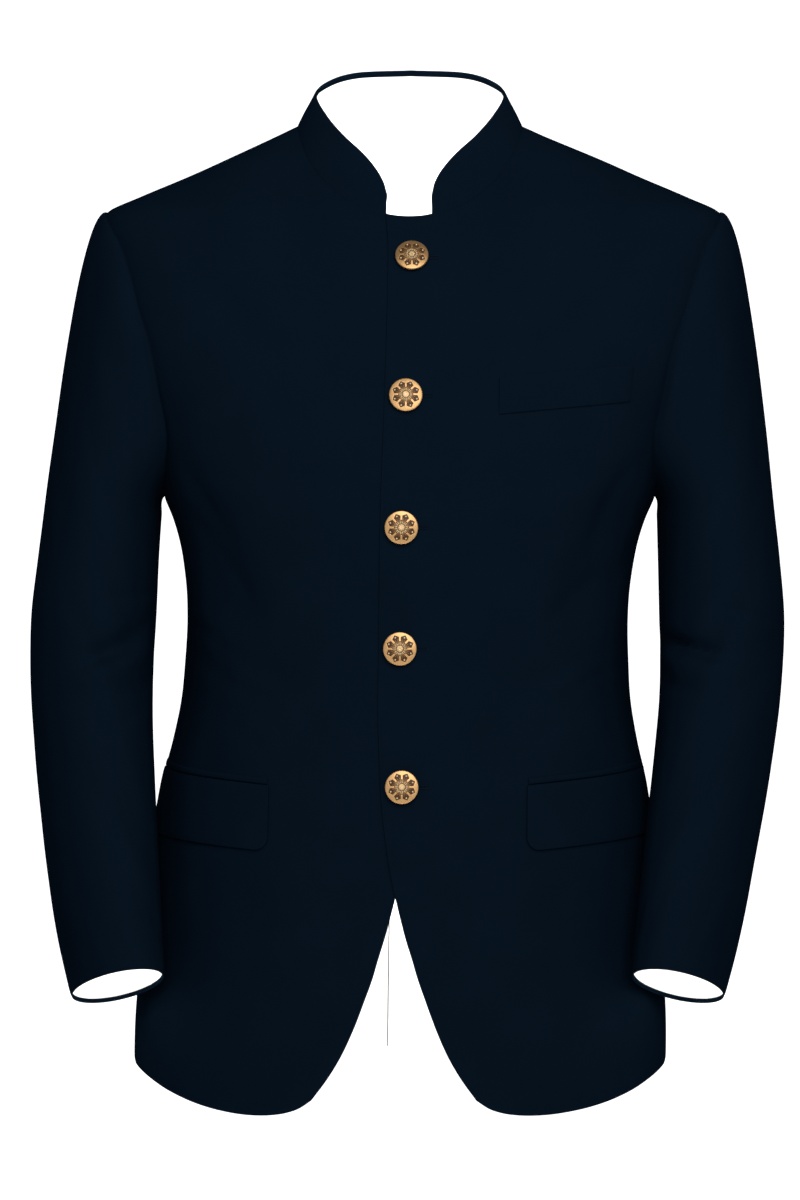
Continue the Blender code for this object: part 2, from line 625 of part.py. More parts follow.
def sleeve_relief(side, turn, point):
    """Sum of the soft folds of one sleeve at points of its smooth form."""
    total = np.zeros(turn.shape)
    turn = np.mod(turn, 360)
    for fold in SLEEVE_FOLDS:
        if fold["side"] != side:
            continue
        reach = 1.05       # millimetres of cloth to a degree round the sleeve
        dx, dz = (fold["turn1"] - fold["turn0"]) * reach, fold["z1"] - fold["z0"]
        span = np.hypot(dx, dz)
        px, pz = (turn - fold["turn0"]) * reach, point[..., 2] - fold["z0"]
        along, aside = (px * dx + pz * dz) / span ** 2, (px * dz - pz * dx) / span
        taper = np.exp(-(np.maximum(np.abs(along - 0.5) - 0.2, 0) * 3.6) ** 2)
        total = total + fold["depth"] * taper * np.exp(-(aside / fold["width"]) ** 2)
    return total


def sleeve(side, turn, row, out=0.0):
    """Point a distance outside the folded sleeve."""
    point = sleeve_point(turn, row)
    step = 0.012
    low, high = np.clip(row - step, 0.004, 2), np.clip(row + step, 0.004, 2)
    around = sleeve_point(turn + 2, row) - sleeve_point(turn - 2, row)
    down = sleeve_point(turn, high) - sleeve_point(turn, low)
    normal = unit(np.cross(around, -down))
    middle = sleeve_point(np.arange(0, 360, 15.0)[:, None, None], row[None]).mean(axis=0)
    facing = np.sum(normal * (point - middle), axis=-1, keepdims=True)
    normal = normal * np.where(facing < 0, -1, 1)
    rise = out + sleeve_relief(side, turn, point) * ease(row / 0.15)
    return stand((point + normal * rise[..., None]) * (side, 1, 1), SLEEVE_SWING)


# Meshes

GARMENT = bpy.data.collections.new("bandhgala_jacket")
bpy.context.scene.collection.children.link(GARMENT)


def material(name, colour, roughness, metallic=0.0):
    made = bpy.data.materials.new(name)
    made.use_nodes = True
    shader = made.node_tree.nodes["Principled BSDF"]
    shader.inputs["Base Color"].default_value = (*colour, 1)
    shader.inputs["Roughness"].default_value = roughness
    shader.inputs["Metallic"].default_value = metallic
    return made


SUITING = material("navy_suiting", (0.0035, 0.0070, 0.0130), 0.9)
WHITE_LINING = material("white_lining", (0.86, 0.86, 0.84), 0.7)
GILT = material("gilt_brass", (0.72, 0.40, 0.16), 0.38, 0.9)


def add(name, points, faces, cloth, smooth_faces=True):
    """Named object from millimetre points, with its faces turned outward."""
    points = np.asarray(points) * MM
    volume = sum(np.dot(points[f[0]], np.cross(points[f[i]], points[f[i + 1]]))
                 for f in faces for i in range(1, len(f) - 1))
    if volume < 0:
        faces = [f[::-1] for f in faces]
    mesh = bpy.data.meshes.new(name)
    mesh.from_pydata(points.tolist(), [], faces)
    mesh.materials.append(cloth)
    if smooth_faces:
        mesh.shade_smooth()
        mesh.set_sharp_from_angle(angle=np.radians(40))
    thing = bpy.data.objects.new(name, mesh)
    GARMENT.objects.link(thing)
    return thing


def wall(name, outer, inner, cloth, cut=None):
    """Closed wall between two grids of points; cells that lack a corner are left out.

    Both faces of a cell are cut along the same diagonal, so that a wall laid on another
    and given that wall's cuts keeps its distance.
    """
    there = np.isfinite(outer).all(axis=-1)
    cells = there[:-1, :-1] & there[:-1, 1:] & there[1:, 1:] & there[1:, :-1]
    number = np.full(there.shape, -1)
    number[there] = np.arange(there.sum())
    count = int(there.sum())
    corners = np.stack([number[:-1, :-1], number[:-1, 1:], number[1:, 1:], number[1:, :-1]], -1)
    cut = short_cut(outer) if cut is None else cut
    a, b, c, d = (corners[cells][:, k] for k in range(4))
    cut = cut[cells][:, None]
    front = np.vstack([np.where(cut, np.stack([a, b, c], 1), np.stack([a, b, d], 1)),
                       np.where(cut, np.stack([a, c, d], 1), np.stack([b, c, d], 1))])
    sides = np.vstack([front[:, [0, 1]], front[:, [1, 2]], front[:, [2, 0]]]).tolist()
    pairs = {tuple(edge) for edge in sides}
    rim = [(p, q) for p, q in sides if (q, p) not in pairs]
    faces = front.tolist() + (front[:, ::-1] + count).tolist()
    faces += [(q, p, p + count, q + count) for p, q in rim]
    return add(name, np.vstack([outer[there], inner[there]]), faces, cloth)


SIDES = {"left": 1, "right": -1}
PANELS = {face + "_" + word: Panel(face, side)
          for face in ("front", "back") for word, side in SIDES.items()}


def build_panels():
    for name, panel in PANELS.items():
        wall(name, panel.points, panel.points - WALL * panel.normals, SUITING)
        if not name.startswith("back"):
            continue
        rows, columns = panel.points.shape[:2]
        row, column = np.meshgrid(np.arange(rows), np.arange(columns), indexing="ij")
        row, column = row.astype(float), column.astype(float)
        row[0] = 0.02
        row[-1] = rows - 1.3
        column[:, -1] = columns - 1.25
        low = panel.armpit
        column[low + 1:, panel.wide] = panel.wide - 0.4
        column[-3:, panel.wide] = panel.wide - 0.9
        row[low, panel.wide + 1:] = low - 0.1
        gone = np.isnan(panel.height)
        outer = panel.at(row, column, -WALL - SEAM)
        outer[gone] = np.nan
        wall(name.replace("back", "back_lining"), outer,
             outer - LINING_WALL * panel.read(panel.normals, row, column), WHITE_LINING,
             short_cut(panel.points))


def build_sleeves():
    rows = np.concatenate([np.array([0, 0.05, 0.12, 0.21, 0.32, 0.46, 0.62, 0.8, 1.0]),
                           1 + np.linspace(0, 1, 14)[1:]])
    half_gap = 0.16
    for word, side in SIDES.items():
        top = np.linspace(HINDARM_SEAM - 360 + half_gap, FOREARM_SEAM - half_gap, 19)
        under = np.linspace(FOREARM_SEAM + half_gap, HINDARM_SEAM - half_gap, 8)
        for name, turns in (("top_sleeve_", top), ("under_sleeve_", under)):
            turn, row = np.meshgrid(turns, rows)
            wall(name + word, sleeve(side, turn, row), sleeve(side, turn, row, -WALL), SUITING)


def neck_points(side):
    """Neck vertices of one side's front and back panels, by collar step from 0 to 9."""
    word = "left" if side == 1 else "right"
    front, back = PANELS["front_" + word], PANELS["back_" + word]
    first = len(neck_line("front", side)) - len(FRONT_NECK_STEPS)
    steps = list(FRONT_NECK_STEPS) + list(BACK_NECK_STEPS[-2::-1])
    points = [front.points[-1, first + k] for k in range(len(FRONT_NECK_STEPS))]
    points += [back.points[-1, k] for k in range(len(BACK_NECK_STEPS) - 2, -1, -1)]
    return np.array(steps), np.array(points)


def collar_sheet(rows=5):
    """Collar band: columns at each neck vertex and midway between, right end to left end."""
    half = []
    for side in (-1, 1):
        steps, seam = neck_points(side)
        between = np.sort(np.concatenate([steps, (steps[1:] + steps[:-1]) / 2]))
        seam = np.stack([np.interp(between, steps, seam[:, k]) for k in range(3)], axis=1)
        top = stand(np.stack([side * COLLAR.at("top_x", between), COLLAR.at("top_y", between),
                              COLLAR.at("top_height", between)], axis=1))
        half.append((seam, top))
    (right_seam, right_top), (left_seam, left_top) = half
    right_seam[-1, 0] = left_seam[-1, 0] = (right_seam[-1, 0] + left_seam[-1, 0]) / 2
    seam = np.vstack([right_seam[:-1], (right_seam[-1:] + left_seam[-1:]) / 2, left_seam[-2::-1]])
    top = np.vstack([right_top, left_top[-2::-1]])
    tall = np.linalg.norm(top - seam, axis=1, keepdims=True)
    up = (top - seam) / tall
    along = 0.6 + np.linspace(0, 1, rows)[:, None, None] * (tall - 0.6)
    band = seam + up * along
    normal = unit(np.cross(np.gradient(band, axis=1), np.broadcast_to(up, band.shape)))
    outward = band - (0, -5, -10.0)
    normal *= np.where(np.sum(normal * outward, axis=-1, keepdims=True) < 0, -1, 1)
    for _ in range(2):
        normal[:, 1:-1] = unit(normal[:, :-2] + 2 * normal[:, 1:-1] + normal[:, 2:])
    bow = 1.4 * np.minimum(tall / 45, 1) ** 2
    band = band + normal * bow * np.sin(np.pi * along / tall)
    return Sheet(band, normal), tall[:, 0]


def build_collar():
    sheet, tall = collar_sheet()
    wall("collar", sheet.points, sheet.points - COLLAR_WALL * sheet.normals, SUITING)
    rows, columns = sheet.points.shape[:2]
    row, column = np.meshgrid(np.arange(rows), np.arange(columns), indexing="ij")
    row, column = row.astype(float), column.astype(float)
    top = (rows - 1) * (1 - COLLAR_RIM / tall)
    row = np.minimum(row, row * top / (rows - 1) + 0.3)
    row[0], row[-1] = 0.05, top
    column[:, 0], column[:, -1] = 0.7, columns - 1.7
    inner = COLLAR_WALL + SEAM
    wall("collar_lining", sheet.at(row, column, -inner),
         sheet.at(row, column, -inner - LINING_WALL), WHITE_LINING, short_cut(sheet.points))


def build_pockets():
    for word, side in SIDES.items():
        panel = PANELS["front_" + word]
        start = FLAP_FROM + side * FRONT_EDGE.at("middle", -510.0)

        def top(reach):
            return FLAP_TOP + FLAP_RISE * (reach - start)

        def bottom(reach):
            into = np.clip(FLAP_CORNER - (reach - start), 0, FLAP_CORNER)
            return top(reach) - FLAP_TALL + FLAP_CORNER - np.sqrt(FLAP_CORNER ** 2 - into ** 2)

        corner = (1.2, 4, 9)
        row, column = panel.strip(start, start + FLAP_LONG, bottom, top,
                                  (0, 0.25, 0.5, 0.75, 1), corner)
        wall("pocket_flap_" + word, panel.at(row, column, SEAM + FLAP_WALL),
             panel.at(row, column, SEAM), SUITING)
        row, column = panel.strip(start, start + FLAP_LONG, bottom, top,
                                  (1 + SEAM, 1 + SEAM + JET_TALL), corner)
        wall("pocket_jet_" + word, panel.at(row, column, SEAM + 1.0),
             panel.at(row, column, SEAM), SUITING)
    panel = PANELS["front_left"]

    def welt_top(reach):
        return WELT["top_inner"] + WELT["rise"] * (reach - WELT["inner"])

    row, column = panel.strip(WELT["inner"], WELT["outer"], lambda r: welt_top(r) - WELT["tall"],
                              welt_top, (0, 0.2, 0.4, 0.6, 0.8, 1))
    wall("breast_welt", panel.at(row, column, LAID + WELT_WALL), panel.at(row, column, LAID),
         SUITING)


def build_buttons():
    """Domed round buttons on a short shank, square to the cloth under each."""
    turns = np.radians(np.arange(0, 360, 20))
    for number, aside, height in BUTTONS.rows:
        reach = np.array([aside])
        foot = skin("front", 1, reach, np.array([height]))[0]
        there = [skin("front", 1, reach + dx, np.array([height + dz]))[0]
                 for dx, dz in ((4, 0), (-4, 0), (0, 4), (0, -4))]
        across, up = unit(there[0] - there[1]), unit(there[2] - there[3])
        out = unit(np.cross(across, up))
        up = np.cross(out, across)
        base = SEAM + BUTTON_LIFT
        edge = base + BUTTON_THICK
        profile = [(SHANK_RADIUS, SEAM), (SHANK_RADIUS, base), (BUTTON_RADIUS * 0.93, base),
                   (BUTTON_RADIUS, base + 0.8), (BUTTON_RADIUS, edge - 0.5),
                   (BUTTON_RADIUS * 0.94, edge), (BUTTON_RADIUS * 0.86, edge - 0.25),
                   (BUTTON_RADIUS * 0.5, edge + BUTTON_DOME * 0.75)]
        points, faces = [foot + out * SEAM], []
        for radius, rise in profile:
            points += [foot + out * rise + radius * (np.cos(a) * across + np.sin(a) * up)
                       for a in turns]
        points.append(foot + out * (edge + BUTTON_DOME))
        n, last = len(turns), len(points) - 1
        for k in range(n):
            m = (k + 1) % n
            faces.append((0, 1 + m, 1 + k))
            faces.append((last, last - n + k, last - n + m))
            for ring in range(len(profile) - 1):
                a = 1 + ring * n
                faces.append((a + k, a + m, a + n + m, a + n + k))
        add("button_%d" % number, points, faces, GILT)


build_panels()
build_sleeves()
build_collar()
build_pockets()
build_buttons()
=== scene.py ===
"""Bandhgala jacket: the finish of every cut piece, laid out as an add-on and run as a script.

Each piece of cloth is a thin closed shell on the form of its own solid: a grid of points over
the cut piece, laid on the body or the sleeve, with its creases, its rolled seam edges and its
turned hems. Lengths are millimetres until a mesh is made in metres. X runs to the wearer's
left, Y to the wearer's back and Z up, from between the shoulder points of the collar.
"""

import bpy
import numpy as np
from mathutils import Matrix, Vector


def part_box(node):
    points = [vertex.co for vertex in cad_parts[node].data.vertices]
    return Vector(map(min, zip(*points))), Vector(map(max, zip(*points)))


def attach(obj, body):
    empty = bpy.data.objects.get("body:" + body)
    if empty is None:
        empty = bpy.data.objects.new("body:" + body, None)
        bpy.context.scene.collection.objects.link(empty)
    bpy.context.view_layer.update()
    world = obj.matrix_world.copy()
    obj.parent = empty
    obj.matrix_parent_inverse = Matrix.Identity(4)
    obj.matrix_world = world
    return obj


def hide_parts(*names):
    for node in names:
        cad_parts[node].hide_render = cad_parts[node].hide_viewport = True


bl_info = {
    "name": "Bandhgala Jacket",
    "version": (1, 0, 0),
    "blender": (4, 5, 0),
    "location": "View3D > Sidebar > Jacket",
    "description": "Makes the cloth, lining, pockets, collar and gilt buttons of a bandhgala jacket",
    "category": "Object",
}

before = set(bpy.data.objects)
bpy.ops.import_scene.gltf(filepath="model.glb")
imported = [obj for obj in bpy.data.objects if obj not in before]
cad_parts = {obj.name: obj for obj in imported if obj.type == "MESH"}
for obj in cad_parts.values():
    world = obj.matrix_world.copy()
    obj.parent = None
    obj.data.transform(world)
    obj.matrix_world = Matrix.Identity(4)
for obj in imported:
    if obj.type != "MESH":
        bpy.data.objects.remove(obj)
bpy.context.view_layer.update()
MM = 0.001


# Curves and tables

def smooth(keys, values, key):
    """Cubic curve through the rows with parabolic slopes, straight beyond its ends."""
    key = np.asarray(key, float)
    step = np.diff(keys)
    slope = np.diff(values) / step
    middle = (slope[:-1] * step[1:] + slope[1:] * step[:-1]) / (step[1:] + step[:-1])
    tangent = np.concatenate([slope[:1], middle, slope[-1:]])
    i = np.clip(np.searchsorted(keys, key, side="right") - 1, 0, len(step) - 1)
    t = (key - keys[i]) / step[i]
    inside = np.clip(t, 0, 1)
    a, b = values[i], values[i + 1]
    da, db = tangent[i] * step[i], tangent[i + 1] * step[i]
    curve = (a + inside * da + inside ** 2 * (3 * (b - a) - 2 * da - db)
             + inside ** 3 * (2 * (a - b) + da + db))
    return curve + np.where(t < 0, t * da, 0) + np.where(t > 1, (t - 1) * db, 0)


class Table:
    """Short table with named columns, read along a smooth curve through its rows."""

    def __init__(self, names, rows):
        self.names = names.split()
        self.rows = np.array(sorted(rows), float)

    def at(self, name, key):
        return smooth(self.rows[:, 0], self.rows[:, self.names.index(name)], key)


def named(names, rows):
    """Rows of a short table as dictionaries by column name."""
    return [dict(zip(names.split(), row)) for row in rows]


def fold_lines(groups):
    """Lines of folds by face and side of the jacket."""
    return {place: named("x0 z0 x1 z1 width depth", rows) for place, rows in groups.items()}


def ramp(value, start, stop):
    """Smooth step: 0 until a value reaches start, 1 once it is past stop."""
    t = np.clip((value - start) / (stop - start), 0, 1)
    return t * t * (3 - 2 * t)


def within(value, edge, soft):
    """1 well under an edge, and softly down to 0 at it."""
    return ramp(edge - value, 0, soft)


def unit(vector):
    """Vectors of length one, the same way."""
    return vector / np.maximum(np.linalg.norm(vector, axis=-1, keepdims=True), 1e-9)


# Form of the jacket, in the same sizes as its solids

LEAN = 0.0135             # sideways drift of the hanging jacket per unit of height
SHOULDER_SHIFT, NECK_SHIFT = 1.4, -2.2
SLEEVE_SWING = -2.4       # how far both cuffs hang aside
LAP_RISE = 2.25           # how far the upper front stands over the lower front
LAP_FADE = 24.0, 62.0     # reach over which that dies away
LAP_START = -640.0, -570.0    # heights over which it begins, above the cut-away
RIPPLE_START = 24.0, 84.0     # reach over which the cloth's slow unevenness begins
SIDE_SEAM_BACK = 18.0     # side seam behind the widest line of the body
HEM = -697.0
VENT_TOP, VENT_LAP, VENT_SET_IN = -478.0, 10.0, 3.8
VENT_SINK = 26.0, 8.0     # heights over its top between which the left back sinks
VENT_FADE = 14.0, 36.0    # reach over which that dies away
NECK_DIP = 2.0            # how far the neck edge sags between the collar's ends
NECK_END = -69.0          # height of the collar's front ends

BODY = Table("height half_width front back ridge front_round back_round", (
    (12, 64, 4, 47, 10, 2.2, 2.2),
    (0, 90, -8, 56, 10, 2.2, 2.2),
    (-20, 134, -26, 72, 10, 2.2, 2.2),
    (-36, 169.3, -39, 82, 9.5, 2.2, 2.2),
    (-52, 206.6, -53, 90, 8, 2.2, 2.2),
    (-62, 229, -62, 95, 7, 2.2, 2.25),
    (-72, 234, -70, 99, 6, 2.2, 2.25),
    (-90, 236, -83, 105, 5, 2.2, 2.3),
    (-115, 235, -97, 111, 3, 2.25, 2.35),
    (-135, 232.5, -105, 115, 2, 2.3, 2.4),
    (-170, 222, -116, 119.5, 1, 2.35, 2.45),
    (-200, 210.5, -123, 121.5, 0, 2.4, 2.5),
    (-233, 197, -128, 122, 0, 2.4, 2.5),
    (-255, 190, -130, 121, 0, 2.4, 2.45),
    (-276, 184, -131, 119.5, 0, 2.4, 2.4),
    (-294, 176.5, -131, 117, 0, 2.4, 2.4),
    (-314, 170.3, -130, 113.5, 0, 2.38, 2.35),
    (-339, 166.3, -128.5, 109, 0, 2.35, 2.3),
    (-369, 165, -126.5, 106, 0, 2.32, 2.25),
    (-399, 166, -126, 105, 0, 2.3, 2.25),
    (-429, 168.3, -127, 107.5, 0, 2.3, 2.25),
    (-459, 174, -129, 112, 0, 2.3, 2.3),
    (-489, 181.6, -130.5, 116.5, 0, 2.25, 2.3),
    (-519, 186.5, -131.5, 120, 0, 2.2, 2.3),
    (-579, 192, -132.5, 125, 0, 2.15, 2.3),
    (-640, 197, -133, 127, 0, 2.15, 2.3),
    (-670, 198.8, -133, 128, 0, 2.2, 2.3),
    (-740, 199, -133, 128, 0, 2.25, 2.3)))

# Middle line of the front closing and how far each front's edge passes it
FRONT_EDGE = Table("height middle past", (
    (-69, -0.8, 16.2), (-130, -1.2, 15.6), (-205, -2.4, 15.5), (-300, -4.4, 15.5),
    (-390, -4.3, 15.4), (-440, -4.3, 15.2), (-470, -4.3, 14.0), (-498, -4.6, 12.0),
    (-524, -4.9, 8.9), (-546, -5.1, 5.4), (-570, -5.2, 0.4), (-588, -5.1, -4.0),
    (-603, -5.0, -8.0), (-617, -4.8, -12.4), (-632, -4.6, -16.8), (-646, -4.5, -21.9),
    (-661, -4.4, -27.4), (-676, -4.4, -33.6), (-690, -4.4, -40.4), (-705, -4.4, -49.6),
    (-720, -4.4, -60.8)))

# Lower edge of a front, from the tip of its curve round to the side seam
FRONT_HEM = Table("reach height", (
    (60.8, -720), (70, -726), (80, -729.4), (92, -731.2), (106, -731.6), (137, -728.4),
    (160, -723.6), (185, -716.5), (210, -708.5), (235, -702), (260, -698.5), (286, -697)))

# Neck seam and top edge of the collar, from a front end (0) to the middle of the back (9)
COLLAR = Table("step seam_x seam_height top_x top_y top_height", (
    (0, 17, -69, 16.9, -62.5, -54),
    (1, 28, -65.4, 19, -57, -44),
    (2, 38, -61, 25, -50, -33),
    (3, 52, -52, 35, -42.5, -21),
    (4, 67, -37, 50, -30, -6.5),
    (5, 78.5, -19, 63, -12.5, 9.5),
    (6, 84, 2.7, 71.4, 9, 26.5),
    (7, 72, 4.2, 62.5, 28.5, 37.5),
    (8, 44, 5.8, 40.5, 42.5, 45),
    (9, 0, 6.5, 0, 50, 47.2)))
COLLAR_WALL, COLLAR_RIM = 2.0, 4.6

# Armhole seen from the side, by degrees round it: top, front, armpit, back
ARMHOLE = Table("turn y height", (
    (-20, 31, -74), (0, 7, -63), (20, -17, -73.5), (40, -38, -97), (60, -55, -129),
    (80, -66, -166), (100, -68.5, -202), (120, -63, -233), (140, -47, -257),
    (160, -25, -271), (180, 1, -276), (200, 27, -271.5), (220, 50, -256), (240, 67, -230),
    (260, 75, -197), (280, 75, -160), (300, 66.5, -126), (320, 51, -96), (340, 31, -74),
    (360, 7, -63), (380, -17, -73.5)))
ARMHOLE_MIDDLE = 5.0, -165.0
ARMPIT_TURN = 193.0
CORNER_TURN = {"front": 143.0, "back": 226.0}
TIP_TURN = {"front": 0.0, "back": 360.0}

# Sleeve below the armpit: outer and inner line seen from the front, middle seen from the
# side, half depth, and how far the ring is tipped forward, dropped outward and toed in
SLEEVE = Table("height outer inner y depth tip drop toe", (
    (-290, 274.4, 185.6, 2, 73, 0, 0, 0),
    (-324, 278, 187, -3, 70, 4, 0, 0),
    (-369, 281.8, 188.2, -11, 66, 8, 0, 0),
    (-399, 281.3, 189.2, -17, 64, 10, 1, 2),
    (-429, 279.4, 188.8, -25, 62.5, 12, 2, 5),
    (-458, 276, 187, -34, 61, 14, 3, 8),
    (-488, 272, 184.4, -44, 59.5, 15, 4, 10),
    (-517, 267.3, 181.6, -54, 58, 15.5, 5, 12),
    (-547, 262.3, 179, -63, 56, 15.5, 5, 14),
    (-576, 257, 176.4, -72, 54.5, 15.5, 6, 16),
    (-605, 250.7, 174, -81, 53, 15.5, 6, 17),
    (-638.5, 241.8, 171, -90, 51.5, 15.5, 8, 18)))
SLEEVE_TOP, SLEEVE_END = -290.0, -638.5
FOREARM_SEAM, HINDARM_SEAM = 198.0, 286.0    # degrees round the sleeve from its outer line
ROUND_A_DEGREE = 1.05     # millimetres of cloth to a degree round the sleeve

# Large folds by face and side, as the solids have them: across and height of both ends,
# half width, and how far the fold stands out; across is in degrees round on a sleeve
FOLDS = fold_lines({
    ("front", 1): ((158, -262, 112, -372, 15, -2.6), (172, -300, 138, -402, 13, 2.0),
                   (150, -388, 88, -420, 12, -1.6), (128, -560, 140, -700, 22, 2.2)),
    ("front", -1): ((160, -268, 106, -380, 16, -2.4), (170, -306, 132, -410, 13, 2.2),
                    (152, -396, 84, -415, 12, -1.8), (132, -570, 142, -700, 20, 1.8)),
    ("back", 1): ((128, -110, 140, -300, 17, 3.0), (140, -372, 70, -400, 14, -2.2),
                  (96, -520, 112, -696, 24, 3.0)),
    ("back", -1): ((126, -118, 142, -292, 18, 2.8), (138, -382, 66, -396, 14, -2.4),
                   (104, -530, 110, -696, 22, 2.6)),
    ("sleeve", 1): ((80, -394, 168, -384, 8, -4.2), (66, -410, 156, -404, 9, 1.8),
                    (100, -424, 160, -412, 8, -1.8), (70, -120, 110, -260, 15, 2.0),
                    (250, -130, 262, -280, 16, 2.4)),
    ("sleeve", -1): ((72, -400, 152, -375, 8, -4.2), (64, -416, 150, -397, 9, 1.8),
                     (105, -424, 165, -416, 8, -1.6), (66, -124, 108, -262, 15, 2.2),
                     (248, -126, 262, -276, 16, 2.2))})

# Creases finer than the solids hold: a trough with a soft ridge beside it
CREASES = fold_lines({
    ("front", 1): ((166, -250, 132, -318, 6, 1.0), (176, -286, 150, -346, 5, 0.8),
                   (146, -330, 104, -372, 6, 0.7), (160, -402, 108, -428, 5, 0.8),
                   (120, -436, 92, -462, 6, 0.5), (96, -112, 150, -150, 12, 0.5)),
    ("front", -1): ((170, -244, 130, -322, 6, 1.1), (158, -292, 118, -352, 5, 0.9),
                    (166, -368, 128, -392, 5, 0.8), (150, -404, 96, -430, 6, 0.9),
                    (128, -446, 100, -470, 6, 0.5), (90, -120, 146, -146, 12, 0.5)),
    ("back", 1): ((24, -378, 92, -370, 8, 1.1), (14, -404, 84, -412, 9, 0.9),
                  (150, -300, 118, -352, 6, 1.0), (60, -60, 120, -96, 11, 0.6)),
    ("back", -1): ((20, -384, 96, -374, 8, 1.0), (12, -412, 78, -406, 9, 1.0),
                   (154, -306, 112, -350, 6, 1.1), (56, -64, 122, -92, 11, 0.6)),
    ("sleeve", 1): ((82, -394, 162, -387, 5, 2.6), (40, -368, 96, -361, 5, 1.3),
                    (96, -440, 150, -430, 5, 0.7), (58, -156, 96, -238, 7, 0.9),
                    (222, -352, 276, -338, 6, 0.8), (226, -420, 270, -430, 6, 0.7),
                    (120, -560, 150, -604, 7, 0.5)),
    ("sleeve", -1): ((78, -404, 146, -383, 5, 2.6), (96, -356, 164, -346, 5, 0.8),
                     (100, -446, 152, -432, 5, 0.8), (60, -162, 100, -232, 7, 0.9),
                     (224, -346, 280, -336, 6, 0.9), (222, -426, 272, -424, 6, 0.6),
                     (116, -570, 148, -612, 7, 0.5))})

BUTTONS = named("number aside height", (
    (1, 0.6, -103), (2, -2.5, -205), (3, -4.4, -300.8), (4, -4.3, -389.6), (5, -1.6, -490.8)))

FLAP_FROM, FLAP_LONG, FLAP_TALL, FLAP_CORNER = 96.0, 138.0, 48.0, 11.0
FLAP_TOP, FLAP_RISE, JET_TALL = -490.0, 0.089, 5.0
FLAP_WALL, JET_WALL, WELT_WALL = 1.6, 0.7, 1.4
WELT = dict(inner=66.0, outer=167.0, top_inner=-191.6, rise=0.103, tall=26.5)
HOLE_LONG, HOLE_TALL, PURL = 23.0, 2.2, 0.95    # a buttonhole and its stitch
PETALS = 8

# Places out and up between which a panel's rolled edge comes to lie flat at the sleeve
TIP_OUT, TIP_UP = (196.0, 220.0), (-92.0, -72.0)
FACING = 88.0             # width of the turned-in cloth behind each front edge
TURN_UP = 32.0            # depth of the turned hem
CUFF_FACING = 5.0         # cloth turned in at the cuffs
LINING_WALL, GAP = 1.0, 0.3    # a lining's thickness, and the air between two sheets

SEAM = -0.16              # sewn pieces run into each other by a hair, so no seam gapes
SLEEVE_GAP = -0.3         # and the sleeve starts a hair inside the armhole
SIDES = {"left": 1, "right": -1}

# Finishes of bare cloth, of cloth with lining behind it and of lining
BARE = ("midnight_worsted",)
LINED = ("midnight_worsted", "white_satin")
WHITE = ("white_satin",)


# Body surface

LOW, HIGH, LEVELS, STEPS = -760.0, 12.0, 773, 384


def section_tables():
    """Half sections as superellipses, cut into even lengths from middle to ridge line."""
    heights = np.linspace(LOW, HIGH, LEVELS)
    quarter = np.linspace(0, np.pi / 2, 481)
    width, ridge = BODY.at("half_width", heights), BODY.at("ridge", heights)
    points, lengths = [], []
    for face in ("front", "back"):
        depth = BODY.at(face, heights) - ridge
        power = 2 / BODY.at(face + "_round", heights)[:, None]
        x = width[:, None] * np.sin(quarter) ** power
        y = ridge[:, None] + depth[:, None] * np.cos(quarter) ** power
        run = np.hypot(np.diff(x), np.diff(y)).cumsum(axis=1)
        run = np.hstack([np.zeros((LEVELS, 1)), run])
        even_run = run[:, -1:] * np.linspace(0, 1, STEPS + 1)
        points.append([np.stack([np.interp(e, r, a), np.interp(e, r, b)], axis=1)
                       for e, r, a, b in zip(even_run, run, x, y)])
        lengths.append(run[:, -1])
    front, back = np.array(points[0]), np.array(points[1])
    return heights, np.concatenate([front, back[:, -2::-1]], axis=1), lengths[0], lengths[1]


HEIGHTS, ROUND, FRONT_LENGTH, BACK_LENGTH = section_tables()


def length(face, height):
    """Length of a half section from its middle to the ridge line."""
    return np.interp(height, HEIGHTS, FRONT_LENGTH if face == "front" else BACK_LENGTH)


def other(face):
    """Name of the face behind this one."""
    return "back" if face == "front" else "front"


def turn_of(face, reach, height):
    """Place round the body: 0 at the middle of the front, 1 on the ridge, 2 at the back."""
    near, far = length(face, height), length(other(face), height)
    turn = np.where(reach <= near, reach / near, 1 + (reach - near) / far)
    return turn if face == "front" else 2 - turn


def bare(turn, height):
    """Point of the smooth body surface on its +X half, mirrored past either middle."""
    sign = np.where((turn < 0) | (turn > 2), -1.0, 1.0)
    turn = np.abs(turn)
    turn = np.where(turn > 2, 4 - turn, turn)
    level = np.clip((height - LOW) / (HIGH - LOW) * (LEVELS - 1), 0, LEVELS - 1.001)
    place = np.clip(turn * STEPS, 0, 2 * STEPS - 0.001)
    level, place = np.nan_to_num(level), np.nan_to_num(place)
    i, j = level.astype(int), place.astype(int)
    a, b = (level - i)[..., None], (place - j)[..., None]
    xy = ((1 - a) * ((1 - b) * ROUND[i, j] + b * ROUND[i, j + 1])
          + a * ((1 - b) * ROUND[i + 1, j] + b * ROUND[i + 1, j + 1]))
    return np.stack([xy[..., 0] * sign, xy[..., 1], height], axis=-1)


def bare_normal(turn, height):
    """Outward direction there, across two short steps round and up the surface."""
    across = bare(turn + 0.02, height) - bare(turn - 0.02, height)
    up = bare(turn, np.minimum(height + 3, HIGH)) - bare(turn, np.minimum(height + 3, HIGH) - 6)
    return unit(np.cross(across, up))


def along_and_aside(line, x, z):
    """Share of a fold's length and distance from it, at places on a flat view."""
    dx, dz = line["x1"] - line["x0"], line["z1"] - line["z0"]
    span = np.hypot(dx, dz)
    px, pz = x - line["x0"], z - line["z0"]
    return (px * dx + pz * dz) / span ** 2, (px * dz - pz * dx) / span


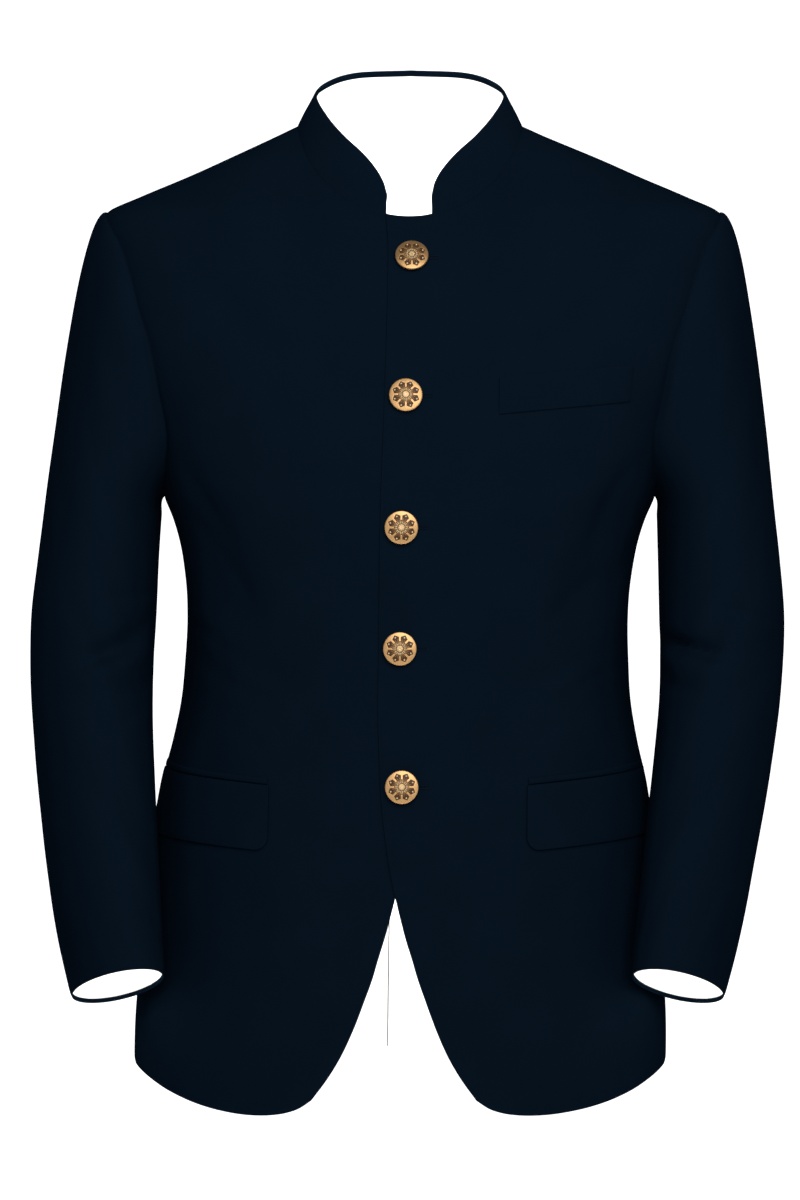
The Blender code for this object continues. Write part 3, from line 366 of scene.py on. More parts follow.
def fold_sum(lines, x, z, level_part):
    """Soft folds: a bell across each line, full along its middle and dying at its ends."""
    total = np.zeros(np.shape(x))
    for line in lines:
        along, aside = along_and_aside(line, x, z)
        taper = np.exp(-(np.maximum(np.abs(along - 0.5) - level_part, 0) * 3.6) ** 2)
        total = total + line["depth"] * taper * np.exp(-(aside / line["width"]) ** 2)
    return total


def crease_sum(lines, x, z):
    """Fine creases: a narrow trough, and beside it a wider and lower ridge."""
    total = np.zeros(np.shape(x))
    for line in lines:
        along, aside = along_and_aside(line, x, z)
        wander = aside + 1.6 * np.sin(along * 5.0 + line["x0"])
        taper = np.exp(-(np.abs(along - 0.5) * 2.1) ** 4)
        across = wander / line["width"]
        total = total + line["depth"] * taper * (
            0.55 * np.exp(-((across - 1.7) / 1.3) ** 2) - np.exp(-across ** 2))
    return total


def ripple(u, v):
    """Slow unevenness of cloth: three crossed waves of different length, a third of a mm."""
    return (0.16 * np.sin(u / 27 + 1.3) * np.sin(v / 36 + 0.4)
            + 0.10 * np.sin(u / 14 - v / 21 + 2.1) + 0.06 * np.sin(u / 9.5 + v / 12))


def vent_sink(height):
    """How far the left back has sunk under the right: 0 well above the vent, 1 from its top."""
    return ramp(height - VENT_TOP, *VENT_SINK)


def skin(face, side, reach, height, out=0.0):
    """Point of one half of the dressed body, a distance outside its cloth surface.

    side is 1 for the wearer's left half. reach runs from the middle of the face round to
    the side, negative past the middle. The upper front rises over the lower one, and the
    left back sinks under the right one along the vent.
    """
    reach, height = np.broadcast_arrays(np.asarray(reach, float), np.asarray(height, float))
    turn = turn_of(face, reach, height)
    point, normal = bare(turn, height), bare_normal(turn, height)
    x, y, z = point[..., 0], point[..., 1], point[..., 2]
    weight = ramp(-y if face == "front" else y, 0, 40)
    deep = bpy.context.scene.jacket_cloth.crease
    rise = out + weight * (fold_sum(FOLDS[face, side], x, z, 0.25)
                           + deep * crease_sum(CREASES[face, side], x, z))
    rise = rise + deep * ramp(reach, *RIPPLE_START) * ripple(reach + 90 * side, height)
    if face == "front" and side == 1:
        rise = rise + LAP_RISE * (1 - ramp(reach, *LAP_FADE)) * ramp(height, *LAP_START)
    if face == "back" and side == 1:
        rise = rise - VENT_SET_IN * (1 - ramp(reach, *VENT_FADE)) * vent_sink(height)
    return stand((point + normal * rise[..., None]) * (side, 1, 1))


def stand(point, swing=0.0):
    """Symmetric shape brought to the stance of the hanging jacket.

    It drifts sideways with height, its neck sits a little to one side of its shoulders, and
    swing carries the lower end of a sleeve aside.
    """
    x, z = np.abs(point[..., 0]), point[..., 2]
    wide = ramp(x, 75, 160)
    aside = (LEAN * z + SHOULDER_SHIFT * wide * ramp(z, -560, -300)
             + NECK_SHIFT * (1 - wide) * ramp(z, -95, -60) + swing * ramp(z, -400, -630))
    return point + aside[..., None] * (1, 0, 0)


# Cut pieces of the body, as reach round the section and height

def crossing(rising, wanted):
    """Share of each rising row at which it reaches its wanted value."""
    last = rising.shape[1] - 1
    i = np.clip((rising < wanted[:, None]).sum(axis=1), 1, last)[:, None]
    low, high = np.take_along_axis(rising, i - 1, 1), np.take_along_axis(rising, i, 1)
    part = (wanted[:, None] - low) / np.maximum(high - low, 1e-12)
    return np.clip((i - 1 + part)[:, 0] / last, 0, 1)


def reach_at(face, height, x=None, y=None):
    """How far round a section lies the point with a given x or y."""
    height = np.minimum(np.atleast_1d(height), HIGH)
    near = length(face, height)
    if y is None:
        x = np.atleast_1d(x)
        shares = np.linspace(0, 1, STEPS + 1)
        turns = shares if face == "front" else 2 - shares
        xs = bare(*np.broadcast_arrays(turns, height[:, None]))[..., 0]
        return near * crossing(xs, np.abs(x)) * np.sign(x)
    turns = np.linspace(0, 2, 2 * STEPS + 1)
    ys = bare(*np.broadcast_arrays(turns, height[:, None]))[..., 1]
    turn = 2 * crossing(ys, np.atleast_1d(y))
    turn = turn if face == "front" else 2 - turn
    return np.where(turn <= 1, turn * near, near + (turn - 1) * length(other(face), height))


def even(curve, at, start=0.0, stop=1.0):
    """Curve of 2-D points read at shares of its length, or at a number of even steps."""
    run = np.hypot(*np.diff(curve, axis=0).T).cumsum()
    run = np.concatenate([[0], run]) / run[-1]
    at = np.linspace(0, 1, at) if np.isscalar(at) else at
    at = start + (stop - start) * at
    return np.stack([np.interp(at, run, curve[:, k]) for k in (0, 1)], axis=1)


def patch(bottom, top, left, right):
    """Grid between four edge curves, each edge blended across the patch."""
    u = np.linspace(0, 1, len(bottom))[None, :, None]
    v = np.linspace(0, 1, len(left))[:, None, None]
    corners = ((1 - u) * (1 - v) * bottom[0] + u * (1 - v) * bottom[-1]
               + (1 - u) * v * top[0] + u * v * top[-1])
    return (1 - v) * bottom + v * top + (1 - u) * left[:, None] + u * right[:, None] - corners


def armhole_line(face, turn_from, turn_to, count):
    """Armhole edge of a panel as reach and height."""
    turns = np.linspace(turn_from, turn_to, count)
    heights = ARMHOLE.at("height", turns)
    return np.stack([reach_at(face, heights, y=ARMHOLE.at("y", turns)), heights], axis=1)


def side_line(face, count):
    """Side seam from the hem to the armhole as reach and height."""
    top = ARMHOLE.at("height", ARMPIT_TURN)
    heights = np.linspace(HEM, top, count)
    meet = reach_at(face, top, y=ARMHOLE.at("y", ARMPIT_TURN))[0]
    behind = meet - length(face, top)
    reach = length(face, heights) + np.sign(behind) * (
        SIDE_SEAM_BACK + (abs(behind) - SIDE_SEAM_BACK) * ramp(heights, -330, -276))
    return np.stack([reach - SEAM / 2, heights], axis=1)


def neck_line(face, side, count):
    """Neck edge of a panel from its middle to the shoulder seam as reach and height."""
    steps = np.linspace(0, 6, count) if face == "front" else np.linspace(9, 6, count)
    x, heights = COLLAR.at("seam_x", steps), COLLAR.at("seam_height", steps)
    reach = reach_at(face, heights, x=np.maximum(x, 0.01))
    reach[-1] = length(face, heights[-1]) - SEAM / 2
    if face == "back":
        reach[0] = SEAM / 2
        return np.stack([reach, heights], axis=1)
    edge = side * FRONT_EDGE.at("middle", NECK_END) - FRONT_EDGE.at("past", NECK_END)
    lead = np.linspace(edge, reach[0], 13)[:-1]
    dip = NECK_DIP * (1 - np.clip(np.abs(lead) / reach[0], 0, 1) ** 2)
    return np.vstack([np.stack([lead, heights[0] - dip], axis=1),
                      np.stack([reach, heights], axis=1)])


def upper_edges(face, line, neck, rows):
    """Top and armhole edges of a panel's rows above the armpit."""
    heights = np.linspace(neck[-1, 1], ARMHOLE.at("height", 0.0), 60)
    shoulder = np.stack([length(face, heights) - SEAM / 2, heights], axis=1)
    armhole = armhole_line(face, CORNER_TURN[face], TIP_TURN[face], 90)
    armhole[0], armhole[-1] = line[-1], shoulder[-1]
    top = np.vstack([neck, even(shoulder, len(line) - len(neck) + 1)[1:]])
    return top, even(armhole, rows + 1)


def with_upper(low, high):
    """Lower rows of a panel with its narrower upper rows on top, and nothing beside those."""
    full = np.full((len(high), low.shape[1], 2), np.nan)
    full[:, :high.shape[1]] = high
    return np.vstack([low, full[1:]])


def armpit_line(face, seam):
    """Armhole edge from the end of the upper rows down to the top of the side seam."""
    armpit = armhole_line(face, CORNER_TURN[face], ARMPIT_TURN, 60)
    armpit[-1] = seam[-1]
    return armpit


def front_grid(side, columns=90, wide=70, low_rows=150, high_rows=66):
    """Reach and height of a front's points from the hem up; its upper rows are narrower."""
    hem_reach = np.linspace(FRONT_HEM.rows[0, 0], FRONT_HEM.rows[-1, 0], 120)
    hem = np.stack([hem_reach, FRONT_HEM.at("height", hem_reach)], axis=1)
    heights = np.linspace(hem[0, 1], NECK_END, 400)
    edge = side * FRONT_EDGE.at("middle", heights) - FRONT_EDGE.at("past", heights)
    edge = np.stack([edge, heights], axis=1)
    hem[:, 0] += (edge[0, 0] - hem[0, 0]) * (1 - ramp(hem_reach - hem_reach[0], 0, 130))
    seam = side_line("front", 200)
    hem[-1] = seam[0]
    neck = neck_line("front", side, 30)
    edge[-1] = neck[0]
    low_part = 0.715
    left = even(edge, low_rows + 1, 0, low_part)
    armpit = armpit_line("front", seam)
    line = even(np.stack([left[-1], armpit[0]]), wide + 1)
    middle = np.vstack([line, even(armpit, columns - wide + 1)[1:]])
    low = patch(even(hem, columns + 1), middle, left, even(seam, low_rows + 1))
    top, right = upper_edges("front", line, neck, high_rows)
    return with_upper(low, patch(line, top, even(edge, high_rows + 1, low_part, 1), right))


def back_grid(early, lap=VENT_LAP, columns=80, wide=62, vent_rows=66, low_rows=74,
              high_rows=66):
    """Reach and height of a back's points; two close rows open the vent below the seam.

    An early edge moves over by the lap above the vent already, as the left back sinks there.
    """
    seam = side_line("back", 200)
    armpit = armpit_line("back", seam)
    heights = np.concatenate([np.linspace(HEM, VENT_TOP, vent_rows + 1), [VENT_TOP + 1.5],
                              np.linspace(VENT_TOP + 1.5, armpit[0, 1], low_rows)[1:]])
    share = (heights - HEM) / (armpit[0, 1] - HEM)
    over = vent_sink(heights) if early else heights <= VENT_TOP + 0.01
    left = np.stack([SEAM / 2 - (lap + SEAM / 2) * over, heights], axis=1)
    line = even(np.stack([left[-1], armpit[0]]), wide + 1)
    middle = np.vstack([line, even(armpit, columns - wide + 1)[1:]])
    right = even(seam, share)
    hem = even(np.stack([left[0], seam[0]]), columns + 1)
    v, u = share[:, None, None], np.linspace(0, 1, columns + 1)[None, :, None]
    low = (1 - v) * hem + v * middle
    low = low + (1 - u) * (left - low[:, 0])[:, None] + u * (right - low[:, -1])[:, None]
    top, right = upper_edges("back", line, neck_line("back", 1, 30), high_rows)
    rise = even(np.stack([left[-1], top[0]]), high_rows + 1)
    return with_upper(low, patch(line, top, rise, right))


# Sleeves

def armhole_point(turn, beyond=0.0):
    """Point of the armhole seam on the +X side, or on the body some way beyond it."""
    turn = np.mod(turn, 360)
    y, z = ARMHOLE.at("y", turn), ARMHOLE.at("height", turn)
    away = unit(np.stack([y, z], axis=-1) - ARMHOLE_MIDDLE)
    y, z = y + beyond * away[..., 0], z + beyond * away[..., 1]
    ridge, width = BODY.at("ridge", z), BODY.at("half_width", z)
    front = y < ridge
    depth = np.where(front, ridge - BODY.at("front", z), BODY.at("back", z) - ridge)
    power = np.where(front, BODY.at("front_round", z), BODY.at("back_round", z))
    x = width * (1 - (np.abs(y - ridge) / depth) ** power) ** (1 / power)
    return np.stack([x, y, z], axis=-1)


def sleeve_ring(turn, height):
    """Point of the sleeve below the armpit: an ellipse, tipped, dropped and toed in."""
    tip, drop, toe = (np.radians(SLEEVE.at(name, height)) for name in ("tip", "drop", "toe"))
    outer, inner = SLEEVE.at("outer", height), SLEEVE.at("inner", height)
    half, deep = (outer - inner) / 2, SLEEVE.at("depth", height)
    narrow = np.sqrt(half ** 2 - (deep * np.sin(toe)) ** 2) / np.cos(toe)
    angle = np.radians(turn)
    across, ahead = narrow * np.cos(angle), deep * np.sin(angle)
    x = across * np.cos(toe) - ahead * np.sin(toe)
    forward = across * np.sin(toe) + ahead * np.cos(toe)
    return np.stack([(outer + inner) / 2 + x * np.cos(drop),
                     SLEEVE.at("y", height) - forward * np.cos(tip),
                     height + forward * np.sin(tip) - x * np.sin(drop)], axis=-1)


def sleeve_cap(turn, t):
    """Sleeve between armhole (t = 0) and armpit level (t = 1): a cubic curve per turn."""
    start = armhole_point(turn) + (SLEEVE_GAP, 0, 0)
    end = sleeve_ring(turn, np.full(np.shape(turn), SLEEVE_TOP))
    below = sleeve_ring(turn, np.full(np.shape(turn), SLEEVE_TOP - 8))
    angle = np.radians(turn)
    top = ramp(np.cos(angle), -1, 1)
    leave = unit(np.stack([0.9 + 0.05 * top, -(0.5 + 0.05 * top) * np.sin(angle),
                           1.1 * top - 0.8], axis=-1))
    top = top[..., None]
    span = np.linalg.norm(end - start, axis=-1, keepdims=True)
    first = start + leave * np.minimum(16 - top, 0.35 * span)
    second = end + unit(end - below) * span * (0.34 + 0.3 * top)
    t = np.asarray(t)[..., None]
    return ((1 - t) ** 3 * start + 3 * t * (1 - t) ** 2 * first
            + 3 * t ** 2 * (1 - t) * second + t ** 3 * end)


def sleeve_point(turn, row):
    """Sleeve surface: rows 0 to 1 over the cap, 1 to 2 from the armpit to the cuff."""
    turn, row = np.broadcast_arrays(np.asarray(turn, float), np.asarray(row, float))
    cap = sleeve_cap(turn, np.clip(row, 0, 1))
    ring = sleeve_ring(turn, SLEEVE_TOP + (SLEEVE_END - SLEEVE_TOP) * np.clip(row - 1, 0, 1))
    return np.where((row <= 1)[..., None], cap, ring)


def sleeve(side, turn, row, out=0.0):
    """Point a distance outside the creased sleeve; turn across and row down a grid."""
    point = sleeve_point(turn, row)
    step = 0.012
    low, high = np.clip(row - step, 0.004, 2), np.clip(row + step, 0.004, 2)
    around = sleeve_point(turn + 2, row) - sleeve_point(turn - 2, row)
    down = sleeve_point(turn, high) - sleeve_point(turn, low)
    normal = unit(np.cross(around, -down))
    middle = sleeve_point(np.arange(0, 360, 15.0)[:, None], row[None, :, 0]).mean(axis=0)
    facing = np.sum(normal * (point - middle[:, None]), axis=-1, keepdims=True)
    normal = normal * np.where(facing < 0, -1, 1)
    x, z = np.mod(turn, 360) * ROUND_A_DEGREE, point[..., 2]
    mine, fine = ([dict(line, x0=line["x0"] * ROUND_A_DEGREE, x1=line["x1"] * ROUND_A_DEGREE)
                   for line in lines["sleeve", side]] for lines in (FOLDS, CREASES))
    deep = bpy.context.scene.jacket_cloth.crease
    wave = ripple(ROUND_A_DEGREE * turn + 200 * side, z) * ramp(z, -640, -610)
    rise = out + ramp(row, 0, 0.15) * (fold_sum(mine, x, z, 0.2)
                                       + deep * (crease_sum(fine, x, z) + wave))
    # A soft roll round the sleeve head, just below the armhole seam
    head = ramp(np.cos(np.radians(turn)), -0.2, 1)
    rise = rise + 0.1 * head * np.exp(-((row - 0.07) / 0.045) ** 2)
    return stand((point + normal * rise[..., None]) * (side, 1, 1), SLEEVE_SWING)


# Meshes

def grown(mask):
    """Mask spread by one point along rows and columns."""
    wide = mask.copy()
    wide[1:] |= mask[:-1]
    wide[:-1] |= mask[1:]
    wide[:, 1:] |= mask[:, :-1]
    wide[:, :-1] |= mask[:, 1:]
    return wide


def rim_share(there):
    """Share of the edge roll at each point: 1 on the rim, less on the next ring, then 0."""
    padded = np.pad(there, 1)
    inner = there.copy()
    for di in (0, 1, 2):
        for dj in (0, 1, 2):
            inner &= padded[di:di + there.shape[0], dj:dj + there.shape[1]]
    rim = there & ~inner
    return np.where(rim, 1.0, np.where(grown(rim) & there, 0.16, 0.0))


def run_along(points, axis):
    """Length of cloth from the first point of each row or column."""
    step = np.nan_to_num(np.linalg.norm(np.diff(points, axis=axis), axis=-1))
    start = np.zeros_like(np.take(step, [0], axis=axis))
    return np.concatenate([start, step.cumsum(axis=axis)], axis=axis)


def weave(across, base, way=1):
    """Weave coordinates: a place across the cloth, and its length along each column."""
    return np.stack([np.nan_to_num(across), way * run_along(base, 0)], axis=-1)


def shell(name, base, normal, wall, finishes, roll, lined=None, uv=None):
    """Closed shell of cloth between a grid of points and the same grid a wall deeper.

    The outer points on the rim sink by roll, one size or a field, along the normal, and the
    inner ones rise by two thirds of it, so an edge reads as turned cloth. lined marks the
    cells whose inner face takes the second finish.
    """
    there = np.isfinite(base).all(axis=-1)
    sunk = (roll * rim_share(there))[..., None]
    outer, inner = base - normal * sunk, base - normal * (wall - 0.66 * sunk)
    cells = there[:-1, :-1] & there[:-1, 1:] & there[1:, 1:] & there[1:, :-1]
    count = int(there.sum())
    number = np.full(there.shape, -1)
    number[there] = np.arange(count)
    quads = np.stack([number[:-1, :-1], number[:-1, 1:], number[1:, 1:], number[1:, :-1]],
                     -1)[cells]
    start, stop = quads.ravel(), np.roll(quads, -1, axis=1).ravel()
    alone = ~np.isin(start * count + stop, stop * count + start)
    p, q = start[alone], stop[alone]
    faces = np.vstack([quads, quads[:, ::-1] + count, np.stack([q, p, p + count, q + count], 1)])
    if uv is None:
        uv = weave(run_along(base, 1), base)
    kinds = np.zeros(len(faces), int)
    if lined is not None:
        kinds[len(quads):2 * len(quads)] = lined[:-1, :-1][cells]
    return add(name, np.vstack([outer[there], inner[there]]), faces, finishes, kinds,
               np.vstack([uv[there], uv[there]]) * MM)


def in_scene(name, data):
    """New object of the scene with this mesh, light or camera."""
    thing = bpy.data.objects.new(name, data)
    bpy.context.scene.collection.objects.link(thing)
    return thing


def rings(rows, count, first=0):
    """Numbers of the points of a stack of rings, and the quads between each two rings."""
    here = first + np.arange(rows * count).reshape(rows, count)
    there = np.roll(here, -1, axis=1)
    return here, np.stack([here[:-1], there[:-1], there[1:], here[1:]], -1).reshape(-1, 4)


def add(name, points, faces, finishes, kinds=None, uv=None, values=None, crisp=38):
    """Named object from millimetre points and faces, turned outward, riding on the root.

    kinds says which finish each face takes, and values are named fields over the points.
    Edges sharper than crisp degrees stay sharp.
    """
    points = np.asarray(points) * MM
    a, b, c, d = (points[faces[:, k]] for k in range(4))
    if np.sum(a * (np.cross(b, c) + np.cross(c, d))) < 0:
        faces = faces[:, ::-1]
    mesh = bpy.data.meshes.new(name)
    mesh.from_pydata(points.tolist(), [], faces.tolist())
    for finish in finishes:
        mesh.materials.append(finish_of(finish))
    if kinds is not None:
        mesh.polygons.foreach_set("material_index", kinds)
    if uv is not None:
        layer = mesh.uv_layers.new(name="cloth")
        layer.data.foreach_set("uv", uv[faces.ravel()].ravel())
    for label, field in (values or {}).items():
        mesh.attributes.new(label, "FLOAT", "POINT").data.foreach_set("value", field)
    mesh.update()
    mesh.shade_smooth()
    mesh.set_sharp_from_angle(angle=np.radians(crisp))
    thing = in_scene(name, mesh)
    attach(thing, "root")
    return thing


def sew(name, cut, base, normal, wall, finishes, rests_on=(), **more):
    """Shell that stands for the node of its name, which it hides; cut is not used."""
    thing = shell(name, base, normal, wall, finishes, **more)
    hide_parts(name)


def laid(face, side, reach, height, lift=0.0):
    """Points on the body, lifted, and the outward directions there, one millimetre long."""
    base = skin(face, side, reach, height, lift)
    return base, skin(face, side, reach, height, lift + 1) - base


# Finishes

class Finish:
    """Principled material with short calls for its nodes."""

    def __init__(self, name, **values):
        self.made = bpy.data.materials.new(name)
        self.made.use_nodes = True
        self.tree = self.made.node_tree
        self.shader = self.tree.nodes["Principled BSDF"]
        for label, value in values.items():
            self.shader.inputs[label.replace("_", " ")].default_value = value

    def put(self, socket, value):
        """Joins an output to an input, or sets the input to a value."""
        if isinstance(value, bpy.types.NodeSocket):
            self.tree.links.new(value, socket)
        else:
            socket.default_value = value

    def node(self, kind, settings=None, **inputs):
        """New node of a kind, with settings, and inputs given as values or as outputs."""
        made = self.tree.nodes.new("ShaderNode" + kind)
        for label, value in (settings or {}).items():
            setattr(made, label, value)
        for label, value in inputs.items():
            self.put(made.inputs[label.replace("_", " ")], value)
        return made

    def math(self, operation, first, second):
        """Output of a Math node on two outputs or values."""
        made = self.node("Math", {"operation": operation})
        self.put(made.inputs[0], first)
        self.put(made.inputs[1], second)
        return made.outputs[0]

    def blend(self, first, part, second, other_part):
        """Sum of two outputs, each times its part."""
        return self.math("ADD", self.math("MULTIPLY", first, part),
                         self.math("MULTIPLY", second, other_part))

    def mix(self, share, first, second):
        """Colour between two colours or outputs."""
        made = self.node("Mix", {"data_type": "RGBA"}, Factor=share)
        self.put(made.inputs[6], first)
        self.put(made.inputs[7], second)
        return made.outputs[2]

    def waves(self, vector, pitch, degrees):
        """Straight even lines of a pitch in metres, turned by an angle from upright."""
        turned = self.node("Mapping", Vector=vector, Rotation=(0, 0, np.radians(degrees)))
        return self.node("TexWave", Vector=turned.outputs[0], Scale=0.31416 / pitch,
                         Distortion=0.0).outputs["Fac"]

    def noise(self, vector, size, detail=2.0):
        """Cloudy pattern whose features are about a size in metres across."""
        return self.node("TexNoise", Vector=vector, Scale=1 / size, Detail=detail).outputs["Fac"]

    def relief(self, height, depth, strength):
        """Bump of a depth in metres from a height field."""
        bump = self.node("Bump", Height=height, Distance=depth, Strength=strength)
        self.put(self.shader.inputs["Normal"], bump.outputs[0])

    def colour(self, output):
        """Base colour from an output."""
        self.put(self.shader.inputs["Base Color"], output)


def tone(colour, share=1.0):
    """Colour made lighter or darker, with its alpha."""
    return (*(min(1.0, part * share) for part in colour), 1.0)


def suiting(cloth):
    """Near-black navy worsted: fine twill, slubs a yarn wide and slow clouds of shade."""
    finish = Finish("midnight_worsted", Roughness=0.72, Specular_IOR_Level=0.0,
                    Sheen_Weight=0.0008, Sheen_Roughness=0.3,
                    Sheen_Tint=(0.35, 0.6, 1.0, 1), Specular_Tint=(0.35, 0.6, 1.0, 1))
    uv = finish.node("UVMap", {"uv_map": "cloth"}).outputs[0]
    twill = finish.waves(uv, cloth.twill, 62)
    yarn = finish.noise(uv, cloth.twill * 1.3, 3.0)
    cloud = finish.noise(uv, 0.045, 2.0)
    base = finish.mix(finish.blend(cloud, 0.6, yarn, 0.4),
                      tone(cloth.navy, 0.72), tone(cloth.navy, 1.28))
    finish.colour(finish.mix(finish.math("MULTIPLY", twill, 0.25), base, tone(cloth.navy, 1.5)))
    finish.relief(finish.blend(twill, 0.65, yarn, 0.5), 0.00012, 0.35)
    return finish.made


def lining(cloth):
    """White satin lining: long floats of yarn, a soft sheen and faint pressed ripples."""
    finish = Finish("white_satin", Roughness=0.5, Specular_IOR_Level=0.4,
                    Sheen_Weight=0.12, Sheen_Roughness=0.35)
    uv = finish.node("UVMap", {"uv_map": "cloth"}).outputs[0]
    floats = finish.waves(uv, 0.0007, 74)
    ripples = finish.noise(uv, 0.03, 1.5)
    base = finish.mix(ripples, tone(cloth.lining, 0.94), tone(cloth.lining))
    finish.colour(finish.mix(finish.math("MULTIPLY", floats, 0.18), base,
                             tone(cloth.lining, 0.9)))
    finish.relief(finish.math("ADD", finish.math("MULTIPLY", floats, 0.12), ripples),
                  0.0006, 0.35)
    return finish.made


def thread(cloth):
    """Twisted silk thread of the cloth's own colour."""
    finish = Finish("navy_thread", Roughness=0.7, Specular_IOR_Level=0.02)
    twist = finish.waves(finish.node("TexCoord").outputs["Object"], 0.0005, 40)
    finish.colour(finish.mix(twist, tone(cloth.navy, 0.6), tone(cloth.navy, 1.3)))
    finish.relief(twist, 0.0001, 0.4)
    return finish.made


def gilt(buttons):
    """Gilt brass with brown enamel and pale beads where the button's own fields say so."""
    finish = Finish("gilt_and_enamel", Specular_IOR_Level=0.1)
    enamel, pearl = (finish.node("Attribute", {"attribute_name": name}).outputs["Fac"]
                     for name in ("enamel", "pearl"))
    place = finish.node("TexCoord").outputs["Object"]
    worn = finish.noise(place, 0.006, 3.0)
    grain = finish.noise(place, 0.0005, 2.0)
    metal = finish.mix(worn, tone(buttons.gilt, 0.86), tone(buttons.gilt, 1.14))
    dark = finish.mix(enamel, metal, tone(buttons.enamel))
    finish.colour(finish.mix(pearl, dark, tone(buttons.pearl)))
    covered = finish.math("MAXIMUM", enamel, pearl)
    finish.put(finish.shader.inputs["Metallic"], finish.math("SUBTRACT", 1.0, covered))
    finish.put(finish.shader.inputs["Roughness"],
               finish.math("ADD", 0.34, finish.math("MULTIPLY", worn, 0.16)))
    finish.relief(grain, 0.00006, 0.3)
    return finish.made


def floor_paint(stage):
    """Pale matt studio paint, faintly uneven, that glows a little so it photographs white."""
    finish = Finish("studio_floor", Roughness=0.9, Specular_IOR_Level=0.1,
                    Emission_Strength=0.85, Emission_Color=(1, 1, 1, 1))
    cloud = finish.noise(finish.node("TexCoord").outputs["Object"], 1.2, 2.0)
    finish.colour(finish.mix(cloud, tone(stage.floor, 0.98), tone(stage.floor)))
    return finish.made


def finish_of(name):
    """Material by name, made on first use."""
    scene = bpy.context.scene
    maker, sizes = {"midnight_worsted": (suiting, scene.jacket_cloth),
                    "white_satin": (lining, scene.jacket_cloth),
                    "navy_thread": (thread, scene.jacket_cloth),
                    "gilt_and_enamel": (gilt, scene.jacket_buttons),
                    "studio_floor": (floor_paint, scene.jacket_stage)}[name]
    return bpy.data.materials.get(name) or maker(sizes)


# Pieces

def make_panel(face, word):
    """Front or back: its grid laid on the skin; fronts are lined but for facing and hem.

    Its edges are rolled, and lie flat where the shoulder seam meets the sleeve.
    """
    side = SIDES[word]
    grid = front_grid(side) if face == "front" else back_grid(side > 0)
    reach, height = grid[..., 0], grid[..., 1]
    base, normal = laid(face, side, reach, height)
    base[np.isnan(height)] = np.nan
    lined = (reach > FACING) & (height > height[0] + TURN_UP) if face == "front" else None
    cloth = bpy.context.scene.jacket_cloth
    tip = ramp(np.abs(base[..., 0]), *TIP_OUT) * ramp(base[..., 2], *TIP_UP)
    sew(face + "_" + word, face, base, normal, cloth.wall / MM, LINED, lined=lined,
        roll=cloth.roll / MM * (1 - 0.9 * np.nan_to_num(tip)), uv=weave(reach, base))


def make_back_lining(word):
    """White lining of a back: the back's own grid drawn in from its seams, just inside it.

    It ends 3.5 mm short of the side seam and is pressed in slow pleats a quarter of a mm deep.
    At the vent the left one covers its lap, which lies inside, and the right one ends 3 mm
    short of the middle.
    """
    side = SIDES[word]
    grid = back_grid(True, VENT_LAP - 0.6 if side > 0 else -3.0)
    reach, height = grid[..., 0], grid[..., 1]
    there = np.isfinite(reach)
    width = np.nanmax(np.where(there, reach, -1), axis=1)[:, None]
    reach = np.minimum(reach, width - 3.5 * (reach / width) ** 4)
    height = height - 0.6 * ramp(height, -60, 0)
    inner = GAP + bpy.context.scene.jacket_cloth.wall / MM
    base, normal = laid("back", side, reach, height, -inner)
    pleat = 0.25 * np.sin(reach / 5.5 + 3 * np.sin(height / 70)) * ramp(height, -690, -630)
    base = base - normal * (GAP + np.nan_to_num(pleat))[..., None]
    base[~there] = np.nan
    sew("back_lining_" + word, "back_lining", base, normal, LINING_WALL, WHITE,
        ["back_" + word], roll=0.3, uv=weave(reach, base))


def make_sleeve(part, word):
    """Top or under sleeve: degrees round the arm by rows from the armhole to the cuff.

    Its first row is turned in: it runs 3 mm under the body's cloth, 2 mm deep.
    """
    side = SIDES[word]
    if part == "top_sleeve":
        turns = np.linspace(HINDARM_SEAM - 360 + SEAM / 2, FOREARM_SEAM - SEAM / 2, 91)
    else:
        turns = np.linspace(FOREARM_SEAM + SEAM / 2, HINDARM_SEAM - SEAM / 2, 30)
    # Rows close up towards the armhole, and its seam sinks half a millimetre but at the top
    cap = np.linspace(0, 1, 76) ** 1.25
    turn, row = np.meshgrid(turns, np.concatenate([cap, 1 + np.linspace(0, 1, 116)[1:]]))
    base = sleeve(side, turn, row)
    normal = sleeve(side, turn, row, 1.0) - base
    top = ramp(np.cos(np.radians(turns)), 0.6, 1)[:, None]
    base[0] -= 0.5 * (1 - top) * normal[0]
    tuck = armhole_point(turns, 3.0) - (2.2, 0, 0)
    tuck = stand(tuck * (side, 1, 1), SLEEVE_SWING) - 0.8 * normal[0]
    base, normal = np.concatenate([tuck[None], base]), np.concatenate([normal[:1], normal])
    turn, row = np.vstack([turn[:1], turn]), np.vstack([row[:1], row])
    cloth = bpy.context.scene.jacket_cloth
    sew(part + "_" + word, part, base, normal, cloth.wall / MM, LINED,
        lined=(row > 0.04) & (row < 2 - CUFF_FACING / (SLEEVE_TOP - SLEEVE_END)),
        roll=cloth.roll / MM, uv=weave(turn * ROUND_A_DEGREE, base, -1))


